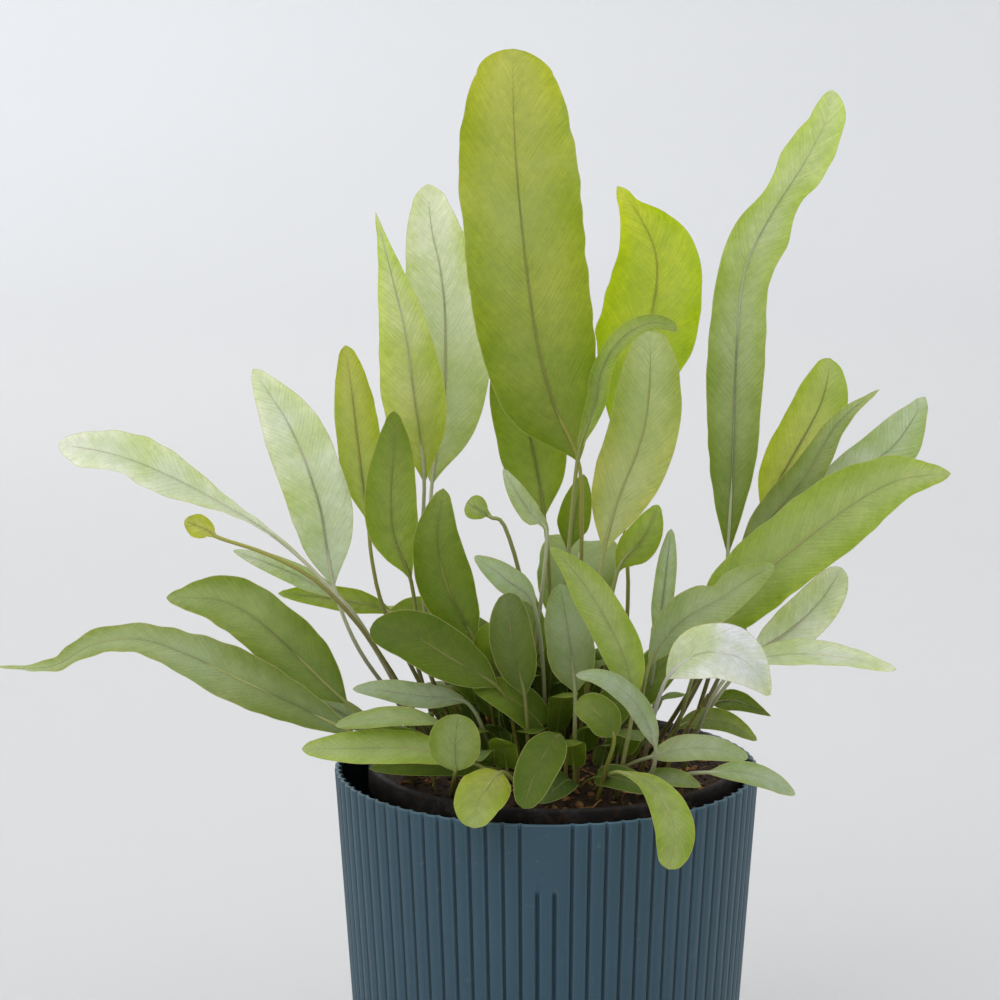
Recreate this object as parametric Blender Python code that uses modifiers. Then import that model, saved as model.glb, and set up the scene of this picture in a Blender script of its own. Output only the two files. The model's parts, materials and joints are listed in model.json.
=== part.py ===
"""Potted fern: a ribbed cover pot, a nursery pot, potting mix, a rhizome, a dry twig and the fronds.

Z is up and the underside of the cover pot is at zero. -Y is the side with the plain panel. Metres.
"""

import math

import bmesh
import bpy
import numpy as np
from mathutils import Vector

MM = 0.001

# Cover pot
COVER_RIM_RADIUS = 70.0
COVER_BASE_RADIUS = 61.5
COVER_HEIGHT = 130.0
COVER_WALL = 1.3
COVER_FLOOR = 2.0
RIB_COUNT = 80
RIB_DEPTH = 1.2
GROOVE_SHARE = 0.32
PANEL_RIBS = 3
PANEL_DROP = 22.0
GROOVE_RUNOUT = 2.0

# Nursery pot, set a little to the back right of the cover pot's axis
CONTACT_GAP = 0.3
NURSERY_OFFSET = (2.5, 3.5)
NURSERY_RIM_CLEARANCE = 1.6
NURSERY_BASE_CLEARANCE = 8.7
NURSERY_RIM_RISE = 1.5
NURSERY_RIM_DEPTH = 9.0
NURSERY_RIM_STEP = 2.2
NURSERY_WALL = 1.2
NURSERY_FLOOR = 1.5
NURSERY_SIDES = 40
DRAIN_HOLES = 6
DRAIN_HOLE_RADIUS = 5.0
DRAIN_HOLE_FROM_WALL = 16.0

# What the nursery pot takes from the cover pot
COVER_RIM_INSIDE = COVER_RIM_RADIUS - RIB_DEPTH - COVER_WALL
COVER_BASE_INSIDE = COVER_BASE_RADIUS - RIB_DEPTH - COVER_WALL
NURSERY_SHIFT = math.hypot(*NURSERY_OFFSET)
NURSERY_RIM_RADIUS = COVER_RIM_INSIDE - NURSERY_SHIFT - NURSERY_RIM_CLEARANCE
NURSERY_BASE_RADIUS = COVER_BASE_INSIDE - NURSERY_SHIFT - NURSERY_BASE_CLEARANCE
NURSERY_RIM_TOP = COVER_HEIGHT + NURSERY_RIM_RISE
DRAIN_CIRCLE_RADIUS = NURSERY_BASE_RADIUS - DRAIN_HOLE_FROM_WALL

# Potting mix
MIX_EDGE_BELOW_RIM = 2.5
MIX_MOUND = 4.0
MIX_SIDES = 40

# Rhizome
RHIZOME_RADIUS = 3.4

# Fronds. Their courses are set out around a rim of this radius, and spread with the cover pot's
FROND_LAYOUT_RADIUS = 70.0
STALK_RADIUS = 0.8
MIDRIB_THICKNESS = 0.9
MARGIN_THICKNESS = 0.4
STALK_STEPS = 4
BLADE_STEPS = 8
TIP_CROWDING = 1.3
TIP_HALF_WIDTH = 0.6
BLADE_CUP = 0.12

# Colours, linear
COVER_BLUE = (0.045, 0.085, 0.115, 1.0)
NURSERY_BROWN = (0.038, 0.032, 0.028, 1.0)
MIX_BROWN = (0.030, 0.016, 0.008, 1.0)
RHIZOME_BROWN = (0.16, 0.09, 0.035, 1.0)
TWIG_BROWN = (0.10, 0.05, 0.02, 1.0)
OLIVE_GREEN = (0.25, 0.31, 0.06, 1.0)
BRIGHT_GREEN = (0.30, 0.38, 0.03, 1.0)
PALE_GREEN = (0.50, 0.58, 0.32, 1.0)
BLUE_GREEN = (0.38, 0.47, 0.33, 1.0)
YELLOW_GREEN = (0.45, 0.47, 0.11, 1.0)

# Ways that a blade faces: towards the panel side, upwards, and between
FRONT = (0, -10, 2)
FRONT_LEFT = (-4, -9, 2)
FRONT_RIGHT = (4, -9, 2)
UP_FRONT = (0, -8, 6)
UP = (0, -4, 9)

# Outlines of a blade: how far along it is widest, how soon it widens (less is sooner), where it starts to narrow,
# and the two powers of the curve that narrows it: a larger first and a smaller second make a rounder tip.
STRAP = (0.50, 0.4, 0.62, 3.0, 0.5)
LONG = (0.35, 0.7, 0.50, 2.0, 0.6)
LANCE = (0.40, 0.8, 0.40, 2.0, 0.7)
TAPER = (0.32, 0.7, 0.32, 1.4, 0.9)
OVAL = (0.45, 0.7, 0.50, 2.3, 0.5)
SPOON = (0.70, 1.2, 0.70, 2.2, 0.5)
PADDLE = (0.78, 2.2, 0.78, 2.0, 0.5)

# Each frond: (stalk points from the mix, blade points from its base to its tip, full width, colour, facings, outline).
# Heights are above the cover pot's rim. The stalk's first is left out, since it comes from the mix.
FRONDS = {
    "frond_tall_centre": (
        [(8, 4), (11, -2, 60)],
        [(10, -7, 103), (2, -11, 122), (-4, -13, 146), (-9, -13, 186), (-11, -11, 216), (-11, -9, 234)],
        39, OLIVE_GREEN, (FRONT, FRONT_RIGHT), STRAP),
    "frond_behind_centre": (
        [(-2, 6), (1, 9, 50)],
        [(-1, 9, 82), (-5, 10, 105), (-9, 10, 125), (-10, 9, 146)],
        22, OLIVE_GREEN, (FRONT, FRONT), LONG),
    "frond_tall_right_centre": (
        [(24, 14), (27, 17, 60)],
        [(22, 20, 110), (29, 22, 128), (34, 23, 146), (36, 23, 164), (32, 22, 179), (27, 21, 189)],
        33, YELLOW_GREEN, (FRONT_LEFT, FRONT), LANCE),
    "frond_front_centre": (
        [(10, -18), (14, -30, 45)],
        [(18, -33, 79), (23, -34, 97), (30, -34, 117), (32, -33, 138), (31, -32, 148)],
        22, PALE_GREEN, (FRONT, FRONT), OVAL),
    "frond_arching_thin": (
        [(4, -8), (6, -16, 60)],
        [(10, -17, 107), (15, -17, 121), (18, -17, 136), (26, -17, 146), (35, -17, 149), (41, -17, 146)],
        7, YELLOW_GREEN, (FRONT, UP_FRONT), STRAP),
    "frond_tall_right": (
        [(34, 4), (55, 2, 40)],
        [(59, 0, 72), (60, 0, 102), (60.5, 0, 126), (62, 0, 156), (66.5, 0, 173), (79, -1, 194), (87, -2, 209),
         (89.5, -2, 221)],
        19, YELLOW_GREEN, (FRONT_LEFT, (5, -9, 3)), STRAP),
    "frond_right_behind": (
        [(40, 20), (60, 25, 40)],
        [(72, 26, 78), (78, 26, 92), (85, 26, 105), (92, 26, 119), (97, 26, 132)],
        19, OLIVE_GREEN, (FRONT, FRONT_RIGHT), OVAL),
    "frond_folded_right": (
        [(46, 9), (56, 10, 35)],
        [(64, 11, 68), (69, 11, 75), (84, 11, 94), (95, 10, 113), (108, 9, 124)],
        13, BLUE_GREEN, (FRONT, FRONT_RIGHT), TAPER),
    "frond_far_right_pale": (
        [(46, 15), (60, 18, 30)],
        [(78, 19, 65), (90, 19, 80), (103, 20, 94), (114, 20, 103), (121, 20, 111), (128, 20, 120)],
        17, BLUE_GREEN, (UP_FRONT, FRONT), LANCE),
    "frond_large_right": (
        [(38, -8), (44, -11, 20)],
        [(50, -13, 41), (60, -14, 58), (72, -15, 70), (93, -15, 87), (112, -14, 98), (132, -12, 101)],
        25, OLIVE_GREEN, (UP_FRONT, UP_FRONT), LONG),
    "frond_under_right": (
        [(44, 0), (54, -1, 20)],
        [(67, -2, 37), (79, -3, 46), (89, -3, 56), (96, -2, 67)],
        15, PALE_GREEN, (FRONT_LEFT, FRONT), OVAL),
    "frond_curled_pale": (
        [(30, -26), (34, -34, 25)],
        [(38, -39, 39), (45, -41, 46), (53, -41, 48), (63, -40, 45), (72, -40, 40)],
        19, PALE_GREEN, (UP_FRONT, UP_FRONT), OVAL),
    "frond_right_front": (
        [(26, -20), (30, -26, 25)],
        [(33, -27, 41), (43, -28, 55), (53, -28, 61), (63, -28, 68), (72, -27, 73)],
        15, BLUE_GREEN, (UP_FRONT, FRONT), LANCE),
    "frond_flat_right": (
        [(44, -16), (52, -20, 25)],
        [(62, -22, 39), (79, -23, 43), (95, -23, 42), (112, -22, 38)],
        14, PALE_GREEN, (UP, UP), LANCE),
    "frond_tall_left_centre": (
        [(-18, 12), (-37, 14, 50)],
        [(-38, 14, 92), (-34, 16, 120), (-34, 17, 154), (-38, 17, 176), (-39, 16, 190)],
        28, PALE_GREEN, (FRONT, FRONT_RIGHT), LONG),
    "frond_tall_left": (
        [(-24, 4), (-40, 4, 50)],
        [(-40, 1, 95), (-43, 0, 122), (-46, 0, 144), (-50, 0, 161), (-55, 0, 182)],
        21, YELLOW_GREEN, (FRONT, FRONT_LEFT), TAPER),
    "frond_left_narrow": (
        [(-30, 8), (-54, 10, 50)],
        [(-59, 10, 80), (-62, 10, 105), (-64, 10, 123), (-66, 10, 138)],
        15, OLIVE_GREEN, (FRONT_RIGHT, FRONT_RIGHT), LONG),
    "frond_front_left_bright": (
        [(-24, -12), (-38, -15, 35)],
        [(-44, -15, 66), (-49, -15, 79), (-50, -15, 94), (-49, -15, 108), (-49, -14, 120)],
        17, BRIGHT_GREEN, (FRONT, FRONT), LANCE),
    "frond_left_pale": (
        [(-34, 0), (-60, 2, 35)],
        [(-70, 2, 60), (-74, 2, 85), (-82, 2, 109), (-91, 3, 123), (-98, 3, 132)],
        21, PALE_GREEN, (FRONT_RIGHT, FRONT), LONG),
    "frond_far_left": (
        [(-38, -6), (-49, -8, 28), (-62, -8, 50)],
        [(-76, -8, 67), (-92, -9, 81), (-118, -9, 96), (-140, -9, 105), (-163, -8, 109)],
        18, PALE_GREEN, (UP_FRONT, UP_FRONT), PADDLE),
    "frond_young_left": (
        [(-33, -11), (-60, -15, 50), (-82, -17, 70)],
        [(-104, -18, 79), (-109, -18, 82), (-116, -18, 85)],
        11, YELLOW_GREEN, (FRONT, FRONT), SPOON),
    "frond_thin_left": (
        [(-38, 12), (-58, 13, 38)],
        [(-68, 14, 52), (-78, 14, 58), (-91, 14, 64), (-104, 13, 69)],
        8, PALE_GREEN, (UP_FRONT, UP_FRONT), LANCE),
    "frond_mid_left": (
        [(-40, -18), (-52, -25, 16)],
        [(-64, -29, 28), (-75, -30, 39), (-87, -30, 51), (-102, -30, 61), (-124, -28, 63)],
        20, PALE_GREEN, (UP_FRONT, UP_FRONT), LONG),
    "frond_low_left": (
        [(-42, -26), (-50, -33, 12)],
        [(-61, -41, 21), (-77, -44, 30), (-91, -45, 37), (-108, -44, 45), (-125, -42, 51), (-141, -39, 50),
         (-158, -36, 41), (-176, -35, 41)],
        18, PALE_GREEN, (UP_FRONT, UP), TAPER),
    "frond_low_left_short": (
        [(-46, -13), (-50, -16, 10)],
        [(-55, -19, 16), (-69, -21, 24), (-84, -21, 31)],
        9, BLUE_GREEN, (UP_FRONT, UP_FRONT), LANCE),
    "frond_rim_left": (
        [(-14, -36), (-17, -41, 7)],
        [(-23, -46, 13), (-40, -52, 19), (-59, -55, 20), (-76, -56, 20)],
        13, OLIVE_GREEN, (UP, UP_FRONT), LONG),
    "frond_rim_left_pale": (
        [(-20, -30), (-26, -36, 15)],
        [(-32, -42, 24), (-42, -48, 28), (-54, -50, 28), (-66, -50, 26)],
        10, PALE_GREEN, (UP, UP), LONG),
    "frond_centre_left_pale": (
        [(-14, -22), (-20, -26, 18)],
        [(-26, -27, 28), (-40, -28, 30), (-53, -28, 32), (-62, -27, 32)],
        9, BLUE_GREEN, (UP_FRONT, UP_FRONT), LANCE),
    "frond_round_front": (
        [(-30, -38), (-29, -47, 8)],
        [(-28, -62, 15), (-28, -65, 25), (-27, -66, 34)],
        16, BLUE_GREEN, (FRONT, FRONT), OVAL),
    "frond_rim_bright": (
        [(-8, -44), (-10, -53, 9)],
        [(-14, -60, 14), (-18, -69, 12), (-21, -75, 8), (-22, -80, 2)],
        18, BRIGHT_GREEN, (UP_FRONT, UP_FRONT), OVAL),
    "frond_rim_front": (
        [(6, -40), (6, -46, 17)],
        [(4, -53, 24), (1, -62, 23), (-3, -71, 18), (-7, -79, 8)],
        13, OLIVE_GREEN, (UP_FRONT, FRONT), OVAL),
    "frond_rim_right_hanging": (
        [(15, -37), (19, -47, 9)],
        [(23, -56, 13), (32, -66, 12), (38, -75, 5), (39, -80, -2), (37, -82, -10)],
        14, BRIGHT_GREEN, (UP, FRONT), SPOON),
    "frond_rim_right_pale": (
        [(20, -28), (26, -34, 9)],
        [(33, -38, 13), (43, -39, 16), (53, -39, 16), (64, -38, 13)],
        9, PALE_GREEN, (UP_FRONT, UP_FRONT), LONG),
    "frond_rim_right_low": (
        [(36, -30), (43, -38, 7)],
        [(51, -45, 10), (60, -48, 11), (69, -49, 9), (78, -49, 4)],
        9, BLUE_GREEN, (UP, UP_FRONT), LANCE),
    "frond_right_back_dark": (
        [(47, 26), (51, 24, 9)],
        [(56, 22, 15), (64, 18, 17), (75, 14, 13)],
        8, OLIVE_GREEN, (UP_FRONT, UP_FRONT), TAPER),
    "frond_right_arched_dark": (
        [(36, -3), (39, -5, 8)],
        [(43, -6, 14), (50, -6, 17), (59, -6, 16), (69, -6, 10)],
        8, OLIVE_GREEN, (UP_FRONT, UP_FRONT), LANCE),
    "frond_front_arching": (
        [(22, -42), (25, -45, 18)],
        [(27, -46, 33), (24, -47, 48), (17, -47, 62), (9, -46, 74), (1, -45, 82)],
        13, BRIGHT_GREEN, (FRONT, UP_FRONT), LONG),
    "frond_front_grey": (
        [(10, -34), (9, -36, 20)],
        [(9, -37, 34), (7, -38, 52), (4, -38, 69)],
        15, BLUE_GREEN, (FRONT, FRONT), LONG),
    "frond_front_strip": (
        [(30, -39), (33, -46, 10)],
        [(34, -51, 20), (28, -53, 34), (18, -53, 42), (9, -52, 43)],
        7, PALE_GREEN, (FRONT, UP_FRONT), LONG),
    "frond_wavy_olive": (
        [(-14, -14), (-18, -19, 25)],
        [(-23, -20, 46), (-31, -21, 62), (-35, -21, 79), (-33, -20, 96)],
        18, OLIVE_GREEN, (FRONT, FRONT), LANCE),
    "frond_broad_olive": (
        [(-8, -26), (-11, -31, 24)],
        [(-16, -34, 35), (-30, -35, 44), (-42, -35, 51), (-56, -33, 53)],
        18, OLIVE_GREEN, (UP_FRONT, UP_FRONT), OVAL),
    "frond_back_left_bright": (
        [(-36, 18), (-44, 20, 30)],
        [(-52, 20, 46), (-70, 21, 51), (-90, 20, 53)],
        9, BRIGHT_GREEN, (UP_FRONT, UP_FRONT), LANCE),
    "frond_centre_blue": (
        [(0, -20), (-1, -24, 35)],
        [(-4, -25, 59), (-13, -26, 68), (-23, -25, 75)],
        9, BLUE_GREEN, (FRONT, FRONT), LANCE),
    "frond_centre_grey": (
        [(-4, -30), (-6, -32, 18)],
        [(-7, -33, 32), (-11, -34, 50), (-12, -33, 65)],
        14, BLUE_GREEN, (FRONT, FRONT), OVAL),
    "frond_dark_upright": (
        [(3, 13), (5, 14, 40)],
        [(7, 14, 69), (9, 14, 80), (12, 13, 95)],
        11, OLIVE_GREEN, (FRONT, FRONT), LANCE),
    "frond_small_pale": (
        [(-8, -8), (-4, -11, 40)],
        [(0, -12, 79), (-4, -12, 85), (-9, -12, 92), (-14, -12, 101)],
        7, PALE_GREEN, (FRONT, FRONT), LANCE),
    "frond_tiny_fan": (
        [(-9, 0), (-5, -5, 40), (-12, -6, 77)],
        [(-18, -6, 84), (-21, -6, 86), (-26, -6, 89)],
        8, YELLOW_GREEN, (FRONT, FRONT), SPOON),
    "frond_narrow_blue": (
        [(30, -2), (33, -7, 20)],
        [(36, -9, 43), (38, -9, 62), (40, -9, 81)],
        7, BLUE_GREEN, (FRONT, FRONT), LONG),
    "frond_light_green": (
        [(16, 0), (19, -2, 40)],
        [(23, -4, 66), (31, -5, 77), (36, -4, 88)],
        12, BRIGHT_GREEN, (FRONT, FRONT), LANCE),
    "frond_front_small": (
        [(16, -45), (19, -51, 14)],
        [(21, -55, 24), (16, -57, 32), (9, -57, 35)],
        12, OLIVE_GREEN, (UP_FRONT, UP_FRONT), OVAL),
    "frond_back_left": (
        [(-12, 24), (-18, 35, 20)],
        [(-26, 43, 29), (-42, 50, 35), (-60, 55, 31)],
        22, OLIVE_GREEN, (UP_FRONT, UP_FRONT), LONG),
    "frond_back_centre": (
        [(6, 26), (8, 37, 20)],
        [(9, 43, 31), (10, 52, 46), (11, 66, 56), (13, 82, 59), (14, 98, 55)],
        27, PALE_GREEN, (UP_FRONT, UP), LONG),
    "frond_back_right": (
        [(20, 27), (28, 36, 20)],
        [(36, 43, 29), (52, 50, 35), (70, 55, 31)],
        20, BLUE_GREEN, (UP_FRONT, UP_FRONT), LONG),
    "frond_back_far_left": (
        [(-26, 26), (-33, 42, 18)],
        [(-38, 54, 28), (-45, 72, 36), (-51, 90, 34), (-55, 104, 26)],
        21, OLIVE_GREEN, (UP, UP), LONG),
    "frond_back_far_right": (
        [(34, 32), (40, 46, 18)],
        [(45, 57, 27), (55, 75, 34), (64, 91, 32), (70, 102, 25)],
        20, OLIVE_GREEN, (UP, UP), LONG),
}

RHIZOME_PATH = [(-24, 35), (-12, 39), (2, 40), (14, 39), (24, 37)]
TWIG_PATH = [(38, -22), (41, -23, 11), (46, -24, 20), (50, -25, 27), (53, -25, 33)]
TWIG_RADIUS = 0.8


def clear_scene():
    for obj in list(bpy.data.objects):
        bpy.data.objects.remove(obj, do_unlink=True)


def make_material(name, colour, roughness, metallic=0.0):
    material = bpy.data.materials.new(name)
    material.use_nodes = True
    surface = material.node_tree.nodes["Principled BSDF"]
    surface.inputs["Base Color"].default_value = colour
    surface.inputs["Roughness"].default_value = roughness
    surface.inputs["Metallic"].default_value = metallic
    return material


def add_object(name, mesh, colour, roughness, collection):
    obj = bpy.data.objects.new(name, mesh)
    obj.data.materials.append(make_material(name, colour, roughness))
    collection.objects.link(obj)
    return obj


def loft(name, rings):
    """A closed body through rings of equal count, capped at both ends, with its faces turned outwards."""
    mesh = bpy.data.meshes.new(name)
    bm = bmesh.new()
    rows = [[bm.verts.new(Vector(point) * MM) for point in ring] for ring in rings]
    for lower, upper in zip(rows, rows[1:]):
        for i, corner in enumerate(lower):
            after = (i + 1) % len(lower)
            bm.faces.new((corner, lower[after], upper[after], upper[i]))
    bm.faces.new(rows[0][::-1])
    bm.faces.new(rows[-1])
    bmesh.ops.recalc_face_normals(bm, faces=bm.faces)
    bmesh.ops.triangulate(bm, faces=bm.faces)
    bm.to_mesh(mesh)
    bm.free()
    return mesh


def screw_solid(name, profile, sides, centre, colour, roughness, collection):
    """Turns a (radius, height) profile about an upright axis. Both its ends lie on the axis."""
    mesh = bpy.data.meshes.new(name)
    points = [(radius * MM, 0.0, height * MM) for radius, height in profile]
    edges = [(i, i + 1) for i in range(len(points) - 1)]
    mesh.from_pydata(points, edges, [])
    obj = add_object(name, mesh, colour, roughness, collection)
    obj.location = (centre[0] * MM, centre[1] * MM, 0.0)
    screw = obj.modifiers.new("turn", "SCREW")
    screw.axis = "Z"
    screw.steps = sides
    screw.render_steps = sides
    screw.use_merge_vertices = True
    screw.merge_threshold = 0.00005
    screw.use_normal_calculate = True
    return obj


# Cover pot


def cover_radius(height):
    return COVER_BASE_RADIUS + (COVER_RIM_RADIUS - COVER_BASE_RADIUS) * height / COVER_HEIGHT


def in_panel(rib):
    """Whether the groove that ends this rib is one of the two inside the plain panel, which faces -Y."""
    return rib % RIB_COUNT in range(1, PANEL_RIBS)


def cover_ring(radius, height, top_of_grooves):
    """One level of the ribbed wall: rib face, then a V groove, all the way round."""
    pitch = 2 * math.pi / RIB_COUNT
    first = -math.pi / 2 - PANEL_RIBS * pitch / 2 - pitch * GROOVE_SHARE / 2
    above_grooves = height >= top_of_grooves
    points = []
    for rib in range(RIB_COUNT):
        depth = 0.0 if in_panel(rib) and above_grooves else RIB_DEPTH
        start = first + rib * pitch
        for share, inset in ((0.0, 0.0), (GROOVE_SHARE / 2, depth), (GROOVE_SHARE, 0.0)):
            angle = start + share * pitch
            reach = radius - inset
            points.append((reach * math.cos(angle), reach * math.sin(angle), height))
    return points


def build_cover_pot(collection):
    top_of_grooves = COVER_HEIGHT - PANEL_DROP
    levels = (0.0, top_of_grooves - GROOVE_RUNOUT, top_of_grooves, COVER_HEIGHT)
    rings = [cover_ring(cover_radius(height), height, top_of_grooves) for height in levels]
    levels = (COVER_HEIGHT, top_of_grooves, top_of_grooves - GROOVE_RUNOUT, COVER_FLOOR)
    rings += [cover_ring(cover_radius(height) - COVER_WALL, height, top_of_grooves) for height in levels]
    add_object("cover_pot", loft("cover_pot", rings), COVER_BLUE, 0.45, collection)


# Nursery pot


def nursery_bottom():
    return COVER_FLOOR + CONTACT_GAP


def nursery_radius(height):
    """Outer radius of the nursery pot's wall below its rim."""
    top = NURSERY_RIM_RADIUS - NURSERY_RIM_STEP
    share = (height - nursery_bottom()) / (NURSERY_RIM_TOP - nursery_bottom())
    return NURSERY_BASE_RADIUS + (top - NURSERY_BASE_RADIUS) * share


def build_nursery_pot(collection):
    bottom = nursery_bottom()
    floor = bottom + NURSERY_FLOOR
    skirt = NURSERY_RIM_TOP - NURSERY_RIM_DEPTH
    profile = [
        (0.0, bottom),
        (nursery_radius(bottom), bottom),
        (nursery_radius(skirt), skirt),
        (NURSERY_RIM_RADIUS, skirt),
        (NURSERY_RIM_RADIUS, NURSERY_RIM_TOP - 0.5),
        (NURSERY_RIM_RADIUS - 0.5, NURSERY_RIM_TOP),
        (nursery_radius(NURSERY_RIM_TOP) - NURSERY_WALL, NURSERY_RIM_TOP),
        (nursery_radius(floor) - NURSERY_WALL, floor),
        (0.0, floor),
    ]
    pot = screw_solid(
        "nursery_pot", profile, NURSERY_SIDES, NURSERY_OFFSET, NURSERY_BROWN, 0.5, collection)
    for number in range(DRAIN_HOLES):
        angle = 2 * math.pi * (number + 0.5) / DRAIN_HOLES
        bpy.ops.mesh.primitive_cylinder_add(
            vertices=16,
            radius=DRAIN_HOLE_RADIUS * MM,
            depth=4 * NURSERY_FLOOR * MM,
            location=(
                (NURSERY_OFFSET[0] + DRAIN_CIRCLE_RADIUS * math.cos(angle)) * MM,
                (NURSERY_OFFSET[1] + DRAIN_CIRCLE_RADIUS * math.sin(angle)) * MM,
                (bottom + NURSERY_FLOOR / 2) * MM,
            ),
        )
        cutter = bpy.context.object
        cutter.name = f"drain_cutter_{number + 1}"
        cutter.hide_render = True
        cutter.hide_viewport = True
        cut = pot.modifiers.new(f"drain_{number + 1}", "BOOLEAN")
        cut.operation = "DIFFERENCE"
        cut.solver = "EXACT"
        cut.object = cutter


# Potting mix


def mix_edge_height():
    return NURSERY_RIM_TOP - MIX_EDGE_BELOW_RIM


def mix_radius(height):
    return nursery_radius(height) - NURSERY_WALL - CONTACT_GAP


def mix_height(x, y):
    """Height of the mounded surface over a point."""
    away = math.hypot(x - NURSERY_OFFSET[0], y - NURSERY_OFFSET[1])
    share = min(1.0, away / mix_radius(mix_edge_height()))
    return mix_edge_height() + MIX_MOUND * (1.0 - share * share)


def build_potting_mix(collection):
    bottom = nursery_bottom() + NURSERY_FLOOR + CONTACT_GAP
    edge = mix_radius(mix_edge_height())
    profile = [(0.0, bottom), (mix_radius(bottom), bottom), (edge, mix_edge_height())]
    for share in (0.8, 0.6, 0.4, 0.2, 0.0):
        profile.append((edge * share, mix_edge_height() + MIX_MOUND * (1.0 - share * share)))
    screw_solid("potting_mix", profile, MIX_SIDES, NURSERY_OFFSET, MIX_BROWN, 0.95, collection)


# Fronds, rhizome and twig


def spline_point(points, at):
    """A point on the smooth curve through the points, where at runs from 0 to their count less one."""
    i = min(int(at), len(points) - 2)
    t = at - i
    p1 = points[i]
    p2 = points[i + 1]
    p0 = points[i - 1] if i > 0 else 2 * p1 - p2
    p3 = points[i + 2] if i + 2 < len(points) else 2 * p2 - p1
    return 0.5 * (
        2 * p1 + (p2 - p0) * t + (2 * p0 - 5 * p1 + 4 * p2 - p3) * t**2 + (3 * p1 - p0 - 3 * p2 + p3) * t**3)


def spline_direction(points, at):
    step = 0.02
    low = max(0.0, at - step)
    high = min(len(points) - 1.0, at + step)
    way = spline_point(points, high) - spline_point(points, low)
    return way / np.linalg.norm(way)


def section_axes(way, facing):
    """The across and facing directions of a section that looks as near to facing as the way allows."""
    face = np.array(facing, float)
    face -= way * face.dot(way)
    face /= np.linalg.norm(face)
    return np.cross(way, face), face


def blade_place(points, turn, t):
    """Where on the smooth curve the share t of the blade's length from its base lies."""
    lengths = [0.0]
    for before, after in zip(points[turn:], points[turn + 1 :]):
        lengths.append(lengths[-1] + np.linalg.norm(after - before))
    return turn + float(np.interp(t * lengths[-1], lengths, range(len(lengths))))


def blade_share(t, outline):
    """Width at t along the blade as a share of its widest."""
    widest, haste, narrows, first, second = outline
    rise = math.sin(min(1.0, t / widest) * math.pi / 2) ** haste
    fall = (1.0 - (max(0.0, t - narrows) / (1.0 - narrows)) ** first) ** second
    return rise * fall


def stalk_ring(centre, across, face, radius):
    ring = []
    for degrees in (150, 90, 30, -30, -90, -150):
        angle = math.radians(degrees)
        ring.append(centre + across * radius * math.cos(angle) + face * radius * math.sin(angle))
    return ring


def blade_ring(centre, across, face, half, cup):
    mid = MIDRIB_THICKNESS / 2
    edge = MARGIN_THICKNESS / 2
    return [
        centre - across * half + face * (cup + edge),
        centre + face * mid,
        centre + across * half + face * (cup + edge),
        centre + across * half + face * (cup - edge),
        centre - face * mid,
        centre - across * half + face * (cup - edge),
    ]


def spread(x, y):
    """A place in the fronds' layout, moved out or in with the cover pot's rim."""
    scale = COVER_RIM_RADIUS / FROND_LAYOUT_RADIUS
    return x * scale, y * scale


def on_mix(x, y, lift):
    x, y = spread(x, y)
    return np.array((x, y, mix_height(x, y) + lift), float)


def over_rim(x, y, height):
    return np.array((*spread(x, y), COVER_HEIGHT + height), float)


def frond_points(stalk, blade):
    return [on_mix(*stalk[0], CONTACT_GAP)] + [over_rim(*point) for point in [*stalk[1:], *blade]]


def build_frond(name, stalk, blade, width, colour, facings, outline, collection):
    points = frond_points(stalk, blade)
    turn = len(stalk)
    rings = []
    for step in range(STALK_STEPS):
        at = turn * step / STALK_STEPS
        way = spline_direction(points, at) if step else np.array((0.0, 0.0, 1.0))
        across, face = section_axes(way, facings[0])
        radius = STALK_RADIUS * (1.0 - 0.2 * step / STALK_STEPS)
        rings.append(stalk_ring(spline_point(points, at), across, face, radius))
    for step in range(BLADE_STEPS + 1):
        t = 1.0 - (1.0 - step / BLADE_STEPS) ** TIP_CROWDING
        at = blade_place(points, turn, t)
        facing = np.array(facings[0], float) * (1.0 - t) + np.array(facings[1], float) * t
        across, face = section_axes(spline_direction(points, at), facing)
        half = max(TIP_HALF_WIDTH, width / 2 * blade_share(t, outline))
        cup = BLADE_CUP * half
        rings.append(blade_ring(spline_point(points, at), across, face, half, cup))
    mesh = loft(name, rings)
    add_object(name, mesh, colour, 0.5, collection)


def build_rod(name, path, radii, colour, roughness, collection):
    rings = []
    for i, radius in enumerate(radii):
        at = (len(path) - 1) * i / (len(radii) - 1)
        across, face = section_axes(spline_direction(path, at), (0.3, -0.2, 1))
        rings.append(stalk_ring(spline_point(path, at), across, face, radius))
    add_object(name, loft(name, rings), colour, roughness, collection)


def build_rhizome(collection):
    path = [on_mix(x, y, RHIZOME_RADIUS + CONTACT_GAP) for x, y in RHIZOME_PATH]
    radii = [RHIZOME_RADIUS * share for share in (0.6, 0.95, 1.0, 0.9, 1.0, 0.95, 0.85, 0.5)]
    build_rod("rhizome", path, radii, RHIZOME_BROWN, 0.9, collection)


def build_twig(collection):
    path = frond_points(TWIG_PATH[:1], TWIG_PATH[1:])
    radii = [TWIG_RADIUS * share for share in (1.0, 0.9, 1.0, 0.8, 0.9, 0.6)]
    build_rod("twig", path, radii, TWIG_BROWN, 0.8, collection)


def build():
    clear_scene()
    collection = bpy.data.collections.new("potted_fern")
    bpy.context.scene.collection.children.link(collection)
    build_cover_pot(collection)
    build_nursery_pot(collection)
    build_potting_mix(collection)
    build_rhizome(collection)
    build_twig(collection)
    for name, (stalk, blade, width, colour, facings, outline) in FRONDS.items():
        build_frond(name, stalk, blade, width, colour, facings, outline, collection)


build()
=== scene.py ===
"""Potted fern: fronds, pots, potting mix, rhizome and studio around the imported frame. Run as a script."""

import json
import math
import random

import bmesh
import bpy
import numpy as np
from mathutils import Matrix, Vector, noise


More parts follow.
